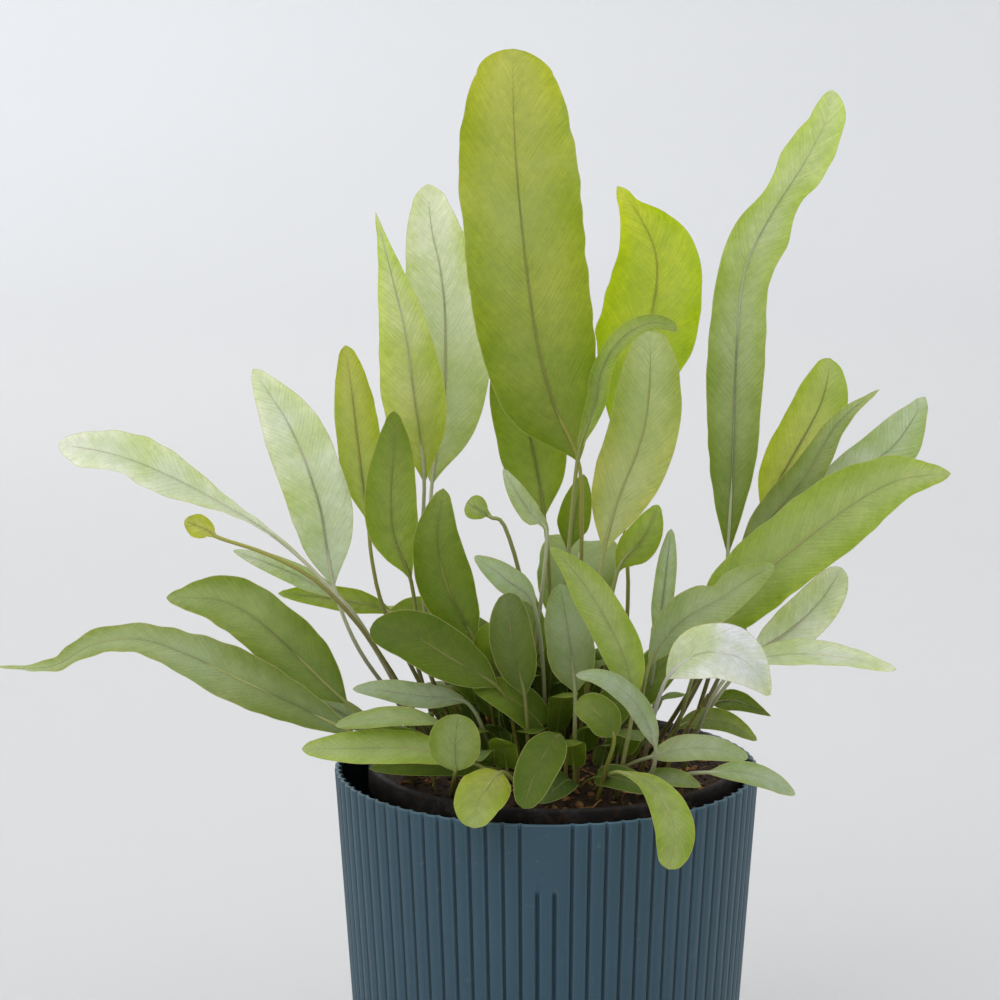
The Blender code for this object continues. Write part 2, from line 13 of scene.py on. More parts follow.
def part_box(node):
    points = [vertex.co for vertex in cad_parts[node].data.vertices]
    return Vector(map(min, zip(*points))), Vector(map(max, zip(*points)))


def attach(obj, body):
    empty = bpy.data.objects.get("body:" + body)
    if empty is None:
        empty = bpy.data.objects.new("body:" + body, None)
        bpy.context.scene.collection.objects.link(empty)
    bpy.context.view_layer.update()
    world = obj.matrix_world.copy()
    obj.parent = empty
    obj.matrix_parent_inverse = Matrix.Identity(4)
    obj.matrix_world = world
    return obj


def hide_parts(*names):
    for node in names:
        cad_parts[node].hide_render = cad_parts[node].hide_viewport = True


bl_info = {
    "name": "Potted Fern",
    "version": (1, 0, 0),
    "blender": (4, 5, 0),
    "location": "View3D > Sidebar > Fern",
    "description": "Builds a potted fern with undivided fronds around its packed frame",
    "category": "Object",
}

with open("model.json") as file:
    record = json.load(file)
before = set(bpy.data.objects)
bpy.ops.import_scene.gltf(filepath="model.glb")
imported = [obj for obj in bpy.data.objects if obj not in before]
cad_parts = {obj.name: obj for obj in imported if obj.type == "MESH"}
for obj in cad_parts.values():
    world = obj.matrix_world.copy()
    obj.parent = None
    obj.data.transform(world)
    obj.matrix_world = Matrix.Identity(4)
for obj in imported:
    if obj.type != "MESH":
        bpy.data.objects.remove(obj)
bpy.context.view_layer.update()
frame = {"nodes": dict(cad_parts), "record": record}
MM = 0.001
BODY = "root"
NODE_SLOTS = {part["node"]: part["material_slot"] for part in frame["record"]["subparts"]}

# Cover pot, in millimetres. Its grooves are a little wider than its solid has them
RIB_COUNT = 80
RIB_DEPTH = 1.2
GROOVE_SHARE = 0.34
COVER_WALL = 1.3
COVER_FLOOR = 2.0
PANEL_RIBS = 3
PANEL_DROP = 22.0
COVER_BASE_RADIUS = 61.5
# Strength of the painted highlight on the rounded rim
RIM_HIGHLIGHT = 1.9

# Nursery pot and mix, in millimetres
NURSERY_RIM_DEPTH = 9.0
NURSERY_RIM_STEP = 2.2
NURSERY_BASE_RADIUS = 46.0
NURSERY_WALL = 1.2
NURSERY_FLOOR = 1.5
DRAIN_HOLES = 6
DRAIN_HOLE_RADIUS = 5.0
DRAIN_CIRCLE_RADIUS = 30.0
MIX_EDGE_BELOW_RIM = 2.5

# Frond solids: rings from the foot to the blade, and in the blade
STALK_RINGS = 4
BLADE_RINGS = 9
RING_POINTS = 6

# Leaf colours, as display values from 0 to 255. They are partly the leaves' own colours and partly painted
# light: lighter and yellower for fronds lit from behind, darker for fronds in shade.
LEAF_COLOURS = {
    "deep": (92, 110, 15),
    "moss": (110, 122, 60),
    "olive": (120, 135, 30),
    "leaf": (140, 154, 70),
    "soft": (162, 174, 100),
    "bright": (150, 172, 12),
    "lime": (204, 208, 54),
    "sunny": (176, 176, 72),
    "grey": (148, 162, 118),
    "bluish": (176, 188, 156),
    "pale": (204, 212, 178),
    "cream": (232, 234, 206),
    "chalk": (242, 240, 240),
}

# The colour of each frond at the base of its blade and at its tip, with its painted light and shade
FROND_TINTS = {
    "frond_tall_centre": ("olive", "sunny"),
    "frond_behind_centre": ("olive", "olive"),
    "frond_tall_right_centre": ("bright", "lime"),
    "frond_front_centre": ("sunny", "soft"),
    "frond_arching_thin": ("soft", "leaf"),
    "frond_tall_right": ("deep", "pale"),
    "frond_right_behind": ("sunny", "soft"),
    "frond_folded_right": ("moss", "soft"),
    "frond_far_right_pale": ("grey", "bluish"),
    "frond_large_right": ("leaf", "soft"),
    "frond_under_right": ("pale", "cream"),
    "frond_curled_pale": ("chalk", "chalk"),
    "frond_right_front": ("grey", "soft"),
    "frond_flat_right": ("pale", "cream"),
    "frond_tall_left_centre": ("soft", "cream"),
    "frond_tall_left": ("sunny", "pale"),
    "frond_left_narrow": ("leaf", "sunny"),
    "frond_front_left_bright": ("leaf", "olive"),
    "frond_left_pale": ("bluish", "cream"),
    "frond_far_left": ("pale", "cream"),
    "frond_young_left": ("sunny", "sunny"),
    "frond_thin_left": ("bluish", "pale"),
    "frond_mid_left": ("deep", "leaf"),
    "frond_low_left": ("moss", "soft"),
    "frond_low_left_short": ("moss", "grey"),
    "frond_rim_left": ("soft", "soft"),
    "frond_rim_left_pale": ("leaf", "soft"),
    "frond_centre_left_pale": ("grey", "bluish"),
    "frond_round_front": ("leaf", "leaf"),
    "frond_rim_bright": ("sunny", "soft"),
    "frond_rim_front": ("deep", "deep"),
    "frond_rim_right_hanging": ("leaf", "soft"),
    "frond_rim_right_pale": ("soft", "bluish"),
    "frond_rim_right_low": ("grey", "bluish"),
    "frond_right_back_dark": ("deep", "moss"),
    "frond_right_arched_dark": ("moss", "leaf"),
    "frond_front_arching": ("soft", "soft"),
    "frond_front_grey": ("moss", "grey"),
    "frond_front_strip": ("grey", "bluish"),
    "frond_wavy_olive": ("deep", "olive"),
    "frond_broad_olive": ("deep", "deep"),
    "frond_back_left_bright": ("olive", "soft"),
    "frond_centre_blue": ("grey", "bluish"),
    "frond_centre_grey": ("deep", "moss"),
    "frond_dark_upright": ("deep", "olive"),
    "frond_small_pale": ("soft", "pale"),
    "frond_tiny_fan": ("leaf", "soft"),
    "frond_narrow_blue": ("grey", "bluish"),
    "frond_light_green": ("olive", "soft"),
    "frond_front_small": ("deep", "olive"),
    "frond_back_left": ("deep", "olive"),
    "frond_back_centre": ("deep", "leaf"),
    "frond_back_right": ("moss", "leaf"),
    "frond_back_far_left": ("olive", "leaf"),
    "frond_back_far_right": ("olive", "leaf"),
}

# How much waxy bloom lies on the blades of each kind, and how strongly their green glows against the light
BLOOM_SHARES = {
    "frond_olive": (0.30, 0.9),
    "frond_bright": (0.16, 1.0),
    "frond_pale": (0.50, 0.12),
    "frond_blue": (0.46, 0.2),
    "frond_yellow": (0.22, 0.9),
}

# How far a blade's margin waves, in millimetres, where it isn't the usual
RUFFLES = {
    "frond_tall_centre": 0.9,
    "frond_tall_right": 1.6,
    "frond_large_right": 1.1,
    "frond_tall_right_centre": 1.4,
    "frond_far_left": 1.4,
    "frond_low_left": 1.2,
    "frond_mid_left": 1.2,
    "frond_wavy_olive": 1.5,
    "frond_under_right": 1.0,
}
USUAL_RUFFLE = 0.7

# Where a blade is narrower than its solid: place along it, reach and share of the width, for each waist
WAISTS = {
    "frond_tall_right": ((0.76, 0.06, 0.34), (0.55, 0.08, 0.10)),
    "frond_far_left": ((0.30, 0.14, 0.22),),
    "frond_arching_thin": ((0.55, 0.10, 0.12),),
    "frond_young_left": ((0.5, 2.0, 0.28),),
    "frond_rim_bright": ((0.5, 2.0, 0.14),),
    "frond_rim_right_hanging": ((0.5, 2.0, 0.12),),
    "frond_far_right_pale": ((0.80, 0.16, -0.30),),
    "frond_right_behind": ((0.75, 0.25, -0.10),),
}

# Blades that narrow to a point rather than a round end
POINTED = {
    "frond_far_left",
    "frond_left_pale",
    "frond_large_right",
    "frond_tall_right_centre",
    "frond_curled_pale",
    "frond_mid_left",
    "frond_tall_left",
    "frond_front_arching",
    "frond_young_left",
}
POINT_FROM = 0.66
POINT_NARROWING = 0.42

# How far a blade's tip bends aside from the middle of its solid, in millimetres
TIP_BENDS = {
    "frond_tall_right_centre": (-4.5, 0.0, 0.0),
    "frond_far_left": (5.5, 0.0, -1.0),
    "frond_left_pale": (2.5, 0.0, -1.0),
    "frond_large_right": (-3.0, 0.0, -1.0),
    "frond_curled_pale": (-1.5, 0.0, -6.0),
    "frond_mid_left": (3.0, 0.0, -1.0),
    "frond_far_right_pale": (-3.5, 0.0, 0.0),
    "frond_right_behind": (-3.5, 0.0, 0.0),
}
BEND_FROM = 0.60

# The least half width of a blade, at its tip, in millimetres
LEAST_HALF = 0.12

# One margin drawn in or out: place along the blade, reach, share of the width, and the side it faces
SHOULDERS = {
    "frond_tall_right_centre": ((0.93, 0.05, 0.45, (1, 0, 0)), (0.78, 0.10, -0.12, (1, 0, 0))),
    "frond_far_left": ((0.72, 0.08, 0.25, (0, 0, -1)), (0.90, 0.06, -0.20, (0, 0, -1))),
    "frond_large_right": ((0.86, 0.08, -0.18, (0, 0, 1)),),
    "frond_right_front": ((0.62, 0.07, 0.35, (-1, 0, 1)),),
}


def linear(value):
    """A display value from 0 to 255 as linear light."""
    share = value / 255.0
    return share / 12.92 if share <= 0.04045 else ((share + 0.055) / 1.055) ** 2.4


def colour(red, green, blue):
    return (linear(red), linear(green), linear(blue), 1.0)


# Sizes and colours that a user may change


def colour_property(name, description, display):
    return bpy.props.FloatVectorProperty(
        name=name,
        description=description,
        subtype="COLOR",
        size=4,
        min=0.0,
        max=1.0,
        default=colour(*display),
    )


class FernSizes(bpy.types.PropertyGroup):
    """Fine sizes of the plant and pots."""

    vein_spacing: bpy.props.FloatProperty(
        name="Vein spacing",
        description="Distance between side veins, in millimetres",
        default=1.9,
        min=1.0,
        max=8.0,
    )
    midrib_width: bpy.props.FloatProperty(
        name="Midrib width",
        description="Width of a blade's midrib near its base, in millimetres",
        default=1.1,
        min=0.2,
        max=3.0,
    )
    margin_width: bpy.props.FloatProperty(
        name="Margin width",
        description="Width of the pale line along a blade's edge, in millimetres",
        default=0.35,
        min=0.05,
        max=2.0,
    )
    chip_count: bpy.props.IntProperty(
        name="Bark chips",
        description="How many chips lie on the mix",
        default=420,
        min=0,
        max=2000,
    )
    fibre_count: bpy.props.IntProperty(
        name="Fibres",
        description="How many fibres lie on the mix",
        default=150,
        min=0,
        max=800,
    )
    young_count: bpy.props.IntProperty(
        name="Young fronds",
        description="How many small fronds grow low among the stalks",
        default=120,
        min=0,
        max=300,
    )


class FernColours(bpy.types.PropertyGroup):
    """Colours of the plant, pots and studio."""

    bloom: colour_property("Bloom", "Waxy bloom on the upper side of the blades", (188, 202, 178))
    midrib: colour_property("Midrib", "Midrib and the stalk near the blade", (116, 108, 52))
    stalk_foot: colour_property("Stalk foot", "Stalk near the mix", (92, 86, 36))
    margin: colour_property("Margin", "Thin dry line along a blade's edge", (188, 176, 124))
    cover: colour_property("Cover pot", "Slate blue plastic", (42, 73, 87))
    # Painted shade: the same plastic as the outside, darkened to stand for the shade on the pot's inner wall.
    inside: colour_property("Cover pot inside", "The same plastic, inside", (18, 28, 36))
    # Partly painted shade: the dark plastic is darkened further so the nursery rim stands for the shadow
    # inside the cover pot's rim.
    nursery: colour_property("Nursery pot", "Dark grey-brown plastic", (24, 21, 20))
    mix: colour_property("Potting mix", "Moist peat", (56, 40, 22))
    chip: colour_property("Bark", "Bark chips", (136, 98, 60))
    fibre: colour_property("Fibre", "Coir fibres", (154, 116, 74))
    rhizome: colour_property("Rhizome scales", "Golden-brown scales", (156, 106, 52))
    # Painted light: the floor is darker near the plant and the wall lighter.
    floor: colour_property("Floor", "Studio floor near the plant", (190, 190, 190))
    wall: colour_property("Wall", "Studio wall", (241, 242, 243))


# Meshes


def finish_mesh(name, vertices, faces, materials, smooth=True, material_indices=None):
    """A mesh object from points in millimetres, scaled to metres."""
    mesh = bpy.data.meshes.new(name)
    mesh.from_pydata((np.asarray(vertices, float) * MM).tolist(), [], [list(face) for face in faces])
    for material in materials:
        mesh.materials.append(material)
    if material_indices is not None:
        mesh.polygons.foreach_set("material_index", material_indices)
    mesh.polygons.foreach_set("use_smooth", [smooth] * len(mesh.polygons))
    mesh.validate()
    mesh.update()
    obj = bpy.data.objects.new(name, mesh)
    bpy.context.scene.collection.objects.link(obj)
    return obj


def set_values(obj, name, values):
    attribute = obj.data.attributes.new(name, "FLOAT", "POINT")
    attribute.data.foreach_set("value", np.asarray(values, np.float32).ravel())


def set_tints(obj, name, values):
    attribute = obj.data.attributes.new(name, "FLOAT_COLOR", "POINT")
    attribute.data.foreach_set("color", np.asarray(values, np.float32).ravel())


def place(obj, *nodes):
    """The object rides on the plant's body and stands for these solids."""
    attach(obj, BODY)
    if nodes:
        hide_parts(*nodes)
    return obj


def grid_faces(rows, columns, closed=False, first=0):
    """Faces of a grid of points, row after row. A closed grid joins its last column to its first."""
    faces = []
    for row in range(rows - 1):
        for column in range(columns if closed else columns - 1):
            after = (column + 1) % columns
            a = first + row * columns
            b = a + columns
            faces.append((a + column, a + after, b + after, b + column))
    return faces


def unit(vector):
    return vector / max(np.linalg.norm(vector), 1e-9)


def smooth_curve(points, at):
    """The point at on the smooth curve through the points, where at runs from 0 to their count less one."""
    i = int(min(max(at, 0.0), len(points) - 1.000001))
    t = at - i
    p1 = points[i]
    p2 = points[i + 1]
    p0 = points[i - 1] if i > 0 else 2 * p1 - p2
    p3 = points[i + 2] if i + 2 < len(points) else 2 * p2 - p1
    bend = (2 * p0 - 5 * p1 + 4 * p2 - p3) * t * t + (3 * p1 - p0 - 3 * p2 + p3) * t**3
    return 0.5 * (2 * p1 + (p2 - p0) * t + bend)


def curve_way(points, at):
    low = max(0.0, at - 0.02)
    high = min(len(points) - 1.0, at + 0.02)
    return unit(smooth_curve(points, high) - smooth_curve(points, low))


# Materials


def put(tree, kind, inputs=None, **settings):
    """A node with its settings. Each input is a value, or a socket to join to it."""
    node = tree.nodes.new("ShaderNode" + kind)
    for key, value in settings.items():
        setattr(node, key, value)
    for key, value in (inputs or {}).items():
        if isinstance(value, bpy.types.NodeSocket):
            tree.links.new(value, node.inputs[key])
        else:
            node.inputs[key].default_value = value
    return node


def sum_of(tree, operation, first, second=0.0, third=0.0):
    return put(tree, "Math", {0: first, 1: second, 2: third}, operation=operation).outputs[0]


def ease(tree, value, low, high):
    """0 below low, 1 above high and smooth between. With low above high it runs the other way."""
    return put(
        tree, "MapRange", {"Value": value, "From Min": low, "From Max": high}, interpolation_type="SMOOTHSTEP"
    ).outputs["Result"]


def blend(tree, share, first, second, way="MIX"):
    node = put(tree, "Mix", data_type="RGBA", blend_type=way)
    for socket, value in ((node.inputs[0], share), (node.inputs[6], first), (node.inputs[7], second)):
        if isinstance(value, bpy.types.NodeSocket):
            tree.links.new(value, socket)
        else:
            socket.default_value = value
    return node.outputs[2]


def speckle(tree, scale, detail=3.0, roughness=0.55, vector=None):
    inputs = {"Scale": scale, "Detail": detail, "Roughness": roughness}
    if vector is not None:
        inputs["Vector"] = vector
    return put(tree, "TexNoise", inputs).outputs["Fac"]


def attribute(tree, name, output="Fac"):
    return put(tree, "Attribute", attribute_name=name).outputs[output]


def bumped(tree, height, strength, distance):
    return put(
        tree, "Bump", {"Height": height, "Strength": strength, "Distance": distance}
    ).outputs["Normal"]


def new_material(name):
    material = bpy.data.materials.new(name)
    material.use_nodes = True
    material.node_tree.nodes.clear()
    return material, material.node_tree


def show(tree, shader):
    output = put(tree, "OutputMaterial")
    tree.links.new(shader, output.inputs["Surface"])


def place_coordinates(tree):
    return put(tree, "TexCoord").outputs["Object"]


def leaf_material(sizes, colours):
    """Blade: two-colour tint, side veins, a net of fine veins, midrib, margin, bloom and light through it."""
    material, tree = new_material("fern_blade")
    here = place_coordinates(tree)
    along = attribute(tree, "along_mm")
    across = attribute(tree, "across_mm")
    half = attribute(tree, "half_mm")
    share = attribute(tree, "share")
    tint = attribute(tree, "tint", "Color")
    away = sum_of(tree, "ABSOLUTE", across)
    drift = sum_of(tree, "MULTIPLY", speckle(tree, 90.0, 3.0, vector=here), 4.0)
    slant = sum_of(tree, "ADD", sum_of(tree, "SUBTRACT", along, sum_of(tree, "MULTIPLY", away, 1.35)), drift)
    side = sum_of(tree, "PINGPONG", slant, sizes.vein_spacing / 2)
    broken = ease(tree, speckle(tree, 210.0, 3.0, vector=here), 0.36, 0.62)
    side_line = sum_of(tree, "MULTIPLY", ease(tree, side, 0.34, 0.03), broken)
    stretch = {"X": sum_of(tree, "MULTIPLY", slant, 0.9), "Y": sum_of(tree, "MULTIPLY", away, 0.16)}
    stripes = put(tree, "CombineXYZ", stretch).outputs[0]
    streaks = speckle(tree, 1.0, 3.0, 0.6, stripes)
    cracks = put(tree, "TexVoronoi", {"Vector": here, "Scale": 640.0}, feature="DISTANCE_TO_EDGE")
    net = cracks.outputs["Distance"]
    net_line = ease(tree, net, 0.12, 0.0)
    thinner = sum_of(tree, "SUBTRACT", 1.0, sum_of(tree, "MULTIPLY", share, 0.8))
    broad = ease(tree, half, 2.0, 14.0)
    rib_half = sum_of(tree, "MULTIPLY", sum_of(tree, "MULTIPLY", thinner, sizes.midrib_width / 2), broad)
    rib = ease(tree, sum_of(tree, "SUBTRACT", away, rib_half), 0.26, -0.10)
    rib_strength = sum_of(tree, "MULTIPLY", rib, sum_of(tree, "MULTIPLY", thinner, 0.46))
    edge = ease(tree, sum_of(tree, "SUBTRACT", half, away), sizes.margin_width, 0.02)
    patches = ease(tree, speckle(tree, 42.0, 4.0, vector=here), 0.34, 0.66)
    cells = speckle(tree, 420.0, 3.0, vector=here)
    fresh = blend(tree, patches, (0.80, 0.88, 0.52, 1), (1.10, 1.08, 1.30, 1))
    skin = blend(tree, 1.0, tint, fresh, "MULTIPLY")
    grain = blend(tree, ease(tree, cells, 0.3, 0.7), (0.92, 0.93, 0.90, 1), (1.07, 1.06, 1.06, 1))
    skin = blend(tree, 1.0, skin, grain, "MULTIPLY")
    lines = blend(tree, ease(tree, streaks, 0.34, 0.66), (0.91, 0.94, 0.84, 1), (1.07, 1.06, 1.13, 1))
    skin = blend(tree, 1.0, skin, lines, "MULTIPLY")
    bloom = ease(tree, speckle(tree, 26.0, 4.0, vector=here), 0.44, 0.74)
    inner = ease(tree, sum_of(tree, "DIVIDE", away, half), 1.0, 0.25)
    bloom = sum_of(tree, "ADD", sum_of(tree, "MULTIPLY", bloom, 0.6), sum_of(tree, "MULTIPLY", inner, 0.5))
    bloom = sum_of(tree, "MULTIPLY", bloom, attribute(tree, "bloom"))
    light = put(tree, "RGBToBW", {"Color": tint}).outputs["Val"]
    bloom = sum_of(tree, "MULTIPLY", bloom, ease(tree, light, 0.02, 0.42))
    vivid = blend(tree, inner, (0.94, 1.02, 0.50, 1), (1.0, 1.0, 1.0, 1))
    skin = blend(tree, attribute(tree, "vivid"), skin, blend(tree, 1.0, skin, vivid, "MULTIPLY"))
    skin = blend(tree, bloom, skin, tuple(colours.bloom))
    skin = blend(tree, sum_of(tree, "MULTIPLY", side_line, 0.24), skin, (0.72, 0.78, 0.56, 1), "MULTIPLY")
    skin = blend(tree, sum_of(tree, "MULTIPLY", net_line, 0.14), skin, (0.76, 0.80, 0.6, 1), "MULTIPLY")
    skin = blend(tree, rib_strength, skin, tuple(colours.midrib))
    skin = blend(tree, sum_of(tree, "MULTIPLY", edge, 0.6), skin, tuple(colours.margin))
    relief = sum_of(tree, "MULTIPLY", side_line, -0.6)
    for pattern, depth in ((net_line, -0.25), (cells, 0.5), (streaks, 1.2), (patches, 1.0)):
        relief = sum_of(tree, "ADD", relief, sum_of(tree, "MULTIPLY", pattern, depth))
    normal = bumped(tree, relief, 0.4, 0.0004)
    surface = put(
        tree,
        "BsdfPrincipled",
        {
            "Base Color": skin,
            "Roughness": sum_of(tree, "ADD", 0.40, sum_of(tree, "MULTIPLY", cells, 0.22)),
            "Normal": normal,
            "Specular IOR Level": 0.26,
            "Sheen Weight": 0.03,
            "Sheen Roughness": 0.5,
        },
    )
    warm = blend(tree, attribute(tree, "vivid"), (1.06, 1.08, 0.86, 1), (1.14, 1.18, 0.36, 1))
    through = blend(tree, 1.0, skin, warm, "MULTIPLY")
    glow = put(tree, "BsdfTranslucent", {"Color": through, "Normal": normal})
    mixed = put(tree, "MixShader", {0: 0.42, 1: surface.outputs[0], 2: glow.outputs[0]})
    show(tree, mixed.outputs[0])
    return material


def stalk_material(colours):
    """Stalk: brown near the mix, greener towards the blade, with fine lengthways lines."""
    material, tree = new_material("fern_stalk")
    here = place_coordinates(tree)
    share = attribute(tree, "share")
    tint = attribute(tree, "tint", "Color")
    streaks = speckle(tree, 900.0, 2.0, vector=here)
    green = blend(tree, 0.45, tint, tuple(colours.midrib))
    base = blend(tree, ease(tree, share, 0.05, 0.95), tuple(colours.stalk_foot), green)
    base = blend(tree, sum_of(tree, "MULTIPLY", streaks, 0.35), base, (0.6, 0.55, 0.4, 1), "MULTIPLY")
    surface = put(
        tree,
        "BsdfPrincipled",
        {"Base Color": base, "Roughness": 0.42, "Normal": bumped(tree, streaks, 0.3, 0.0002)},
    )
    show(tree, surface.outputs[0])
    return material


def cover_material(name, base_colour):
    """Moulded plastic with a fine grain, soft mottling, dust, a painted highlight along the ribs' borders and
    on the rounded rim, and painted shade down in the grooves.
    """
    material, tree = new_material(name)
    here = place_coordinates(tree)
    painted_highlight = attribute(tree, "rib_painted_highlight")
    grain = speckle(tree, 2600.0, 2.0, vector=here)
    cloud = speckle(tree, 22.0, 4.0, vector=here)
    darker = tuple(0.90 * c for c in base_colour[:3]) + (1,)
    base = blend(tree, ease(tree, cloud, 0.3, 0.7), darker, base_colour)
    # Painted highlight: lighter plastic along the ribs' borders and on the rounded rim.
    lighter = tuple(min(1.0, 1.35 * c + 0.02) for c in base_colour[:3]) + (1,)
    base = blend(tree, sum_of(tree, "MULTIPLY", painted_highlight, 0.35), base, lighter)
    # Painted shade: the plastic is darker down in the grooves.
    groove_shade = ease(tree, attribute(tree, "groove"), 0.25, 1.0)
    base = blend(tree, groove_shade, base, (0.34, 0.36, 0.40, 1), "MULTIPLY")
    dust = ease(tree, speckle(tree, 240.0, 5.0, 0.7, here), 0.60, 0.78)
    base = blend(tree, sum_of(tree, "MULTIPLY", dust, 0.07), base, (0.5, 0.5, 0.48, 1))
    surface = put(
        tree,
        "BsdfPrincipled",
        {
            "Base Color": base,
            "Roughness": sum_of(tree, "ADD", 0.40, sum_of(tree, "MULTIPLY", cloud, 0.14)),
            "Normal": bumped(tree, grain, 0.12, 0.0002),
            "Specular IOR Level": 0.45,
        },
    )
    show(tree, surface.outputs[0])
    return material


def nursery_material(colours):
    """Thin grow-pot plastic, scuffed, with dried mix along its rim. Its near-black colour is partly the
    plastic's own and partly painted shade, so its rim reads as the dark band inside the cover pot's rim.
    """
    material, tree = new_material("nursery_plastic_painted_shade")
    here = place_coordinates(tree)
    scuffs = ease(tree, speckle(tree, 130.0, 6.0, 0.7, here), 0.5, 0.68)
    soil = ease(tree, speckle(tree, 300.0, 6.0, 0.75, here), 0.54, 0.64)
    base = blend(tree, sum_of(tree, "MULTIPLY", scuffs, 0.35), tuple(colours.nursery), (0.07, 0.06, 0.055, 1))
    base = blend(tree, sum_of(tree, "MULTIPLY", soil, 0.75), base, tuple(colours.mix))
    surface = put(
        tree,
        "BsdfPrincipled",
        {
            "Base Color": base,
            "Roughness": sum_of(tree, "ADD", 0.6, sum_of(tree, "MULTIPLY", soil, 0.3)),
            "Normal": bumped(tree, soil, 0.4, 0.0003),
            "Specular IOR Level": 0.2,
        },
    )
    show(tree, surface.outputs[0])
    return material


def mix_material():
    """Moist peat, bark and fibre: the tint attribute colours each bit."""
    material, tree = new_material("potting_mix")
    here = place_coordinates(tree)
    tint = attribute(tree, "tint", "Color")
    coarse = speckle(tree, 380.0, 6.0, 0.7, here)
    fine = speckle(tree, 1500.0, 4.0, 0.6, here)
    base = blend(tree, ease(tree, coarse, 0.35, 0.68), (0.45, 0.42, 0.40, 1), (1.5, 1.45, 1.35, 1))
    base = blend(tree, 1.0, tint, base, "MULTIPLY")
    relief = sum_of(tree, "ADD", coarse, sum_of(tree, "MULTIPLY", fine, 0.4))
    surface = put(
        tree,
        "BsdfPrincipled",
        {
            "Base Color": base,
            "Roughness": 0.86,
            "Specular IOR Level": 0.25,
            "Normal": bumped(tree, relief, 0.9, 0.0008),
        },
    )
    show(tree, surface.outputs[0])
    return material


def floor_material(colours):
    """Pale floor with painted light: darker near the plant, lighter up the wall and a little lighter on the
    left.
    """
    material, tree = new_material("studio_floor")
    here = place_coordinates(tree)
    parts = put(tree, "SeparateXYZ", {"Vector": here})
    away = put(tree, "VectorMath", {0: here}, operation="LENGTH").outputs["Value"]
    # Painted light: lighter towards the left and up the wall.
    left = ease(tree, parts.outputs["X"], 1.2, -1.6)
    lighter = sum_of(tree, "ADD", 0.55, sum_of(tree, "MULTIPLY", left, 0.45))
    share = sum_of(tree, "MULTIPLY", ease(tree, away, 0.9, 3.6), lighter)
    base = blend(tree, share, tuple(colours.floor), tuple(colours.wall))
    surface = put(tree, "BsdfPrincipled", {"Base Color": base, "Roughness": 0.9, "Specular IOR Level": 0.1})
    show(tree, surface.outputs[0])
    return material


# Fronds


def foot_ring(bm):
    """The six points of the level ring that the stalk stands on."""
    for vertex in bm.verts:
        level = [other for other in bm.verts if abs(other.co.z - vertex.co.z) < 2e-6]
        near = {other for other in level if (other.co - vertex.co).length < 2.5 * MM}
        if len(near) == RING_POINTS:
            return near
    raise RuntimeError("a frond's solid has no level foot")


def solid_rings(node):
    """The rings of points that a frond's solid was lofted through, from its foot up, in millimetres."""
    bm = bmesh.new()
    bm.from_mesh(frame["nodes"][node].data)
    bmesh.ops.remove_doubles(bm, verts=bm.verts, dist=1e-6)
    ring = foot_ring(bm)
    seen = set(ring)
    rings = []
    while ring:
        rings.append(np.array([vertex.co for vertex in ring], float) / MM)
        ring = {edge.other_vert(vertex) for vertex in ring for edge in vertex.link_edges} - seen
        seen |= ring
    bm.free()
    if len(rings) != STALK_RINGS + BLADE_RINGS:
        raise RuntimeError(f"{node}: its solid has {len(rings)} rings")
    return rings


def blade_sections(rings):
    """Centre, across direction, facing direction, half width and cup of each blade ring."""
    blades = rings[STALK_RINGS:]
    middles = [ring.mean(0) for ring in blades]
    ways = []
    for i in range(len(blades)):
        ways.append(unit(middles[min(i + 1, len(blades) - 1)] - middles[max(i - 1, 0)]))
    acrosses = []
    for ring, middle in zip(blades, middles):
        acrosses.append(np.linalg.svd(ring - middle)[2][0])
    acrosses[0] = acrosses[1]
    acrosses[-1] = acrosses[-2]
    widths = []
    for ring, middle, across in zip(blades, middles, acrosses):
        widths.append(np.abs((ring - middle) @ across).max())
    widest = int(np.argmax(widths))
    for i in list(range(widest + 1, len(blades))) + list(range(widest - 1, -1, -1)):
        neighbour = i - 1 if i > widest else i + 1
        if acrosses[i] @ acrosses[neighbour] < 0:
            acrosses[i] = -acrosses[i]
    sections = []
    for ring, middle, across, way in zip(blades, middles, acrosses, ways):
        across = unit(across - way * (across @ way))
        reach = (ring - middle) @ across
        order = np.argsort(np.abs(reach))
        centre = ring[order[:2]].mean(0)
        rise = ring[order[2:]].mean(0) - centre
        sections.append([centre, across, np.cross(across, way), np.abs(reach).max(), rise])
    if sections[widest][4] @ sections[widest][2] < 0:
        for section in sections:
            section[1] = -section[1]
            section[2] = -section[2]
    return sections


def shares_of(points):
    """How far along each point is, as a share of the whole length, and that length."""
    steps = [0.0] + [float(np.linalg.norm(b - a)) for a, b in zip(points, points[1:])]
    lengths = np.cumsum(steps)
    return lengths / lengths[-1], float(lengths[-1])


def tip_share(before, last, w):
    """Width past the last full ring, rounder where the blade has hardly narrowed by then."""
    ratio = min(1.0, last / max(before, 1e-6))
    power = 0.5 + 0.5 * min(1.0, max(0.0, (0.78 - ratio) / 0.4))
    return max(0.0, 1.0 - w**1.5) ** power


def past(t, start):
    """How far t is past a start, as a share of what is left up to 1."""
    return max(0.0, (t - start) / (1.0 - start))


def near(t, place_, reach):
    """1 at a place along the blade, falling away to 0 on both sides."""
    return math.exp(-(((t - place_) / reach) ** 2))


def tip_bend(node, t):
    """How far the blade's middle is moved aside here, in millimetres."""
    return np.array(TIP_BENDS.get(node, (0, 0, 0))) * past(t, BEND_FROM) ** 2


def own_width(node, t):
    """The blade's width here as a share of its solid's width."""
    share = 1.0
    for place_, reach, drawn_in in WAISTS.get(node, ()):
        share *= 1.0 - drawn_in * near(t, place_, reach)
    if node in POINTED:
        share *= 1.0 - POINT_NARROWING * past(t, POINT_FROM) ** 1.4
    return share


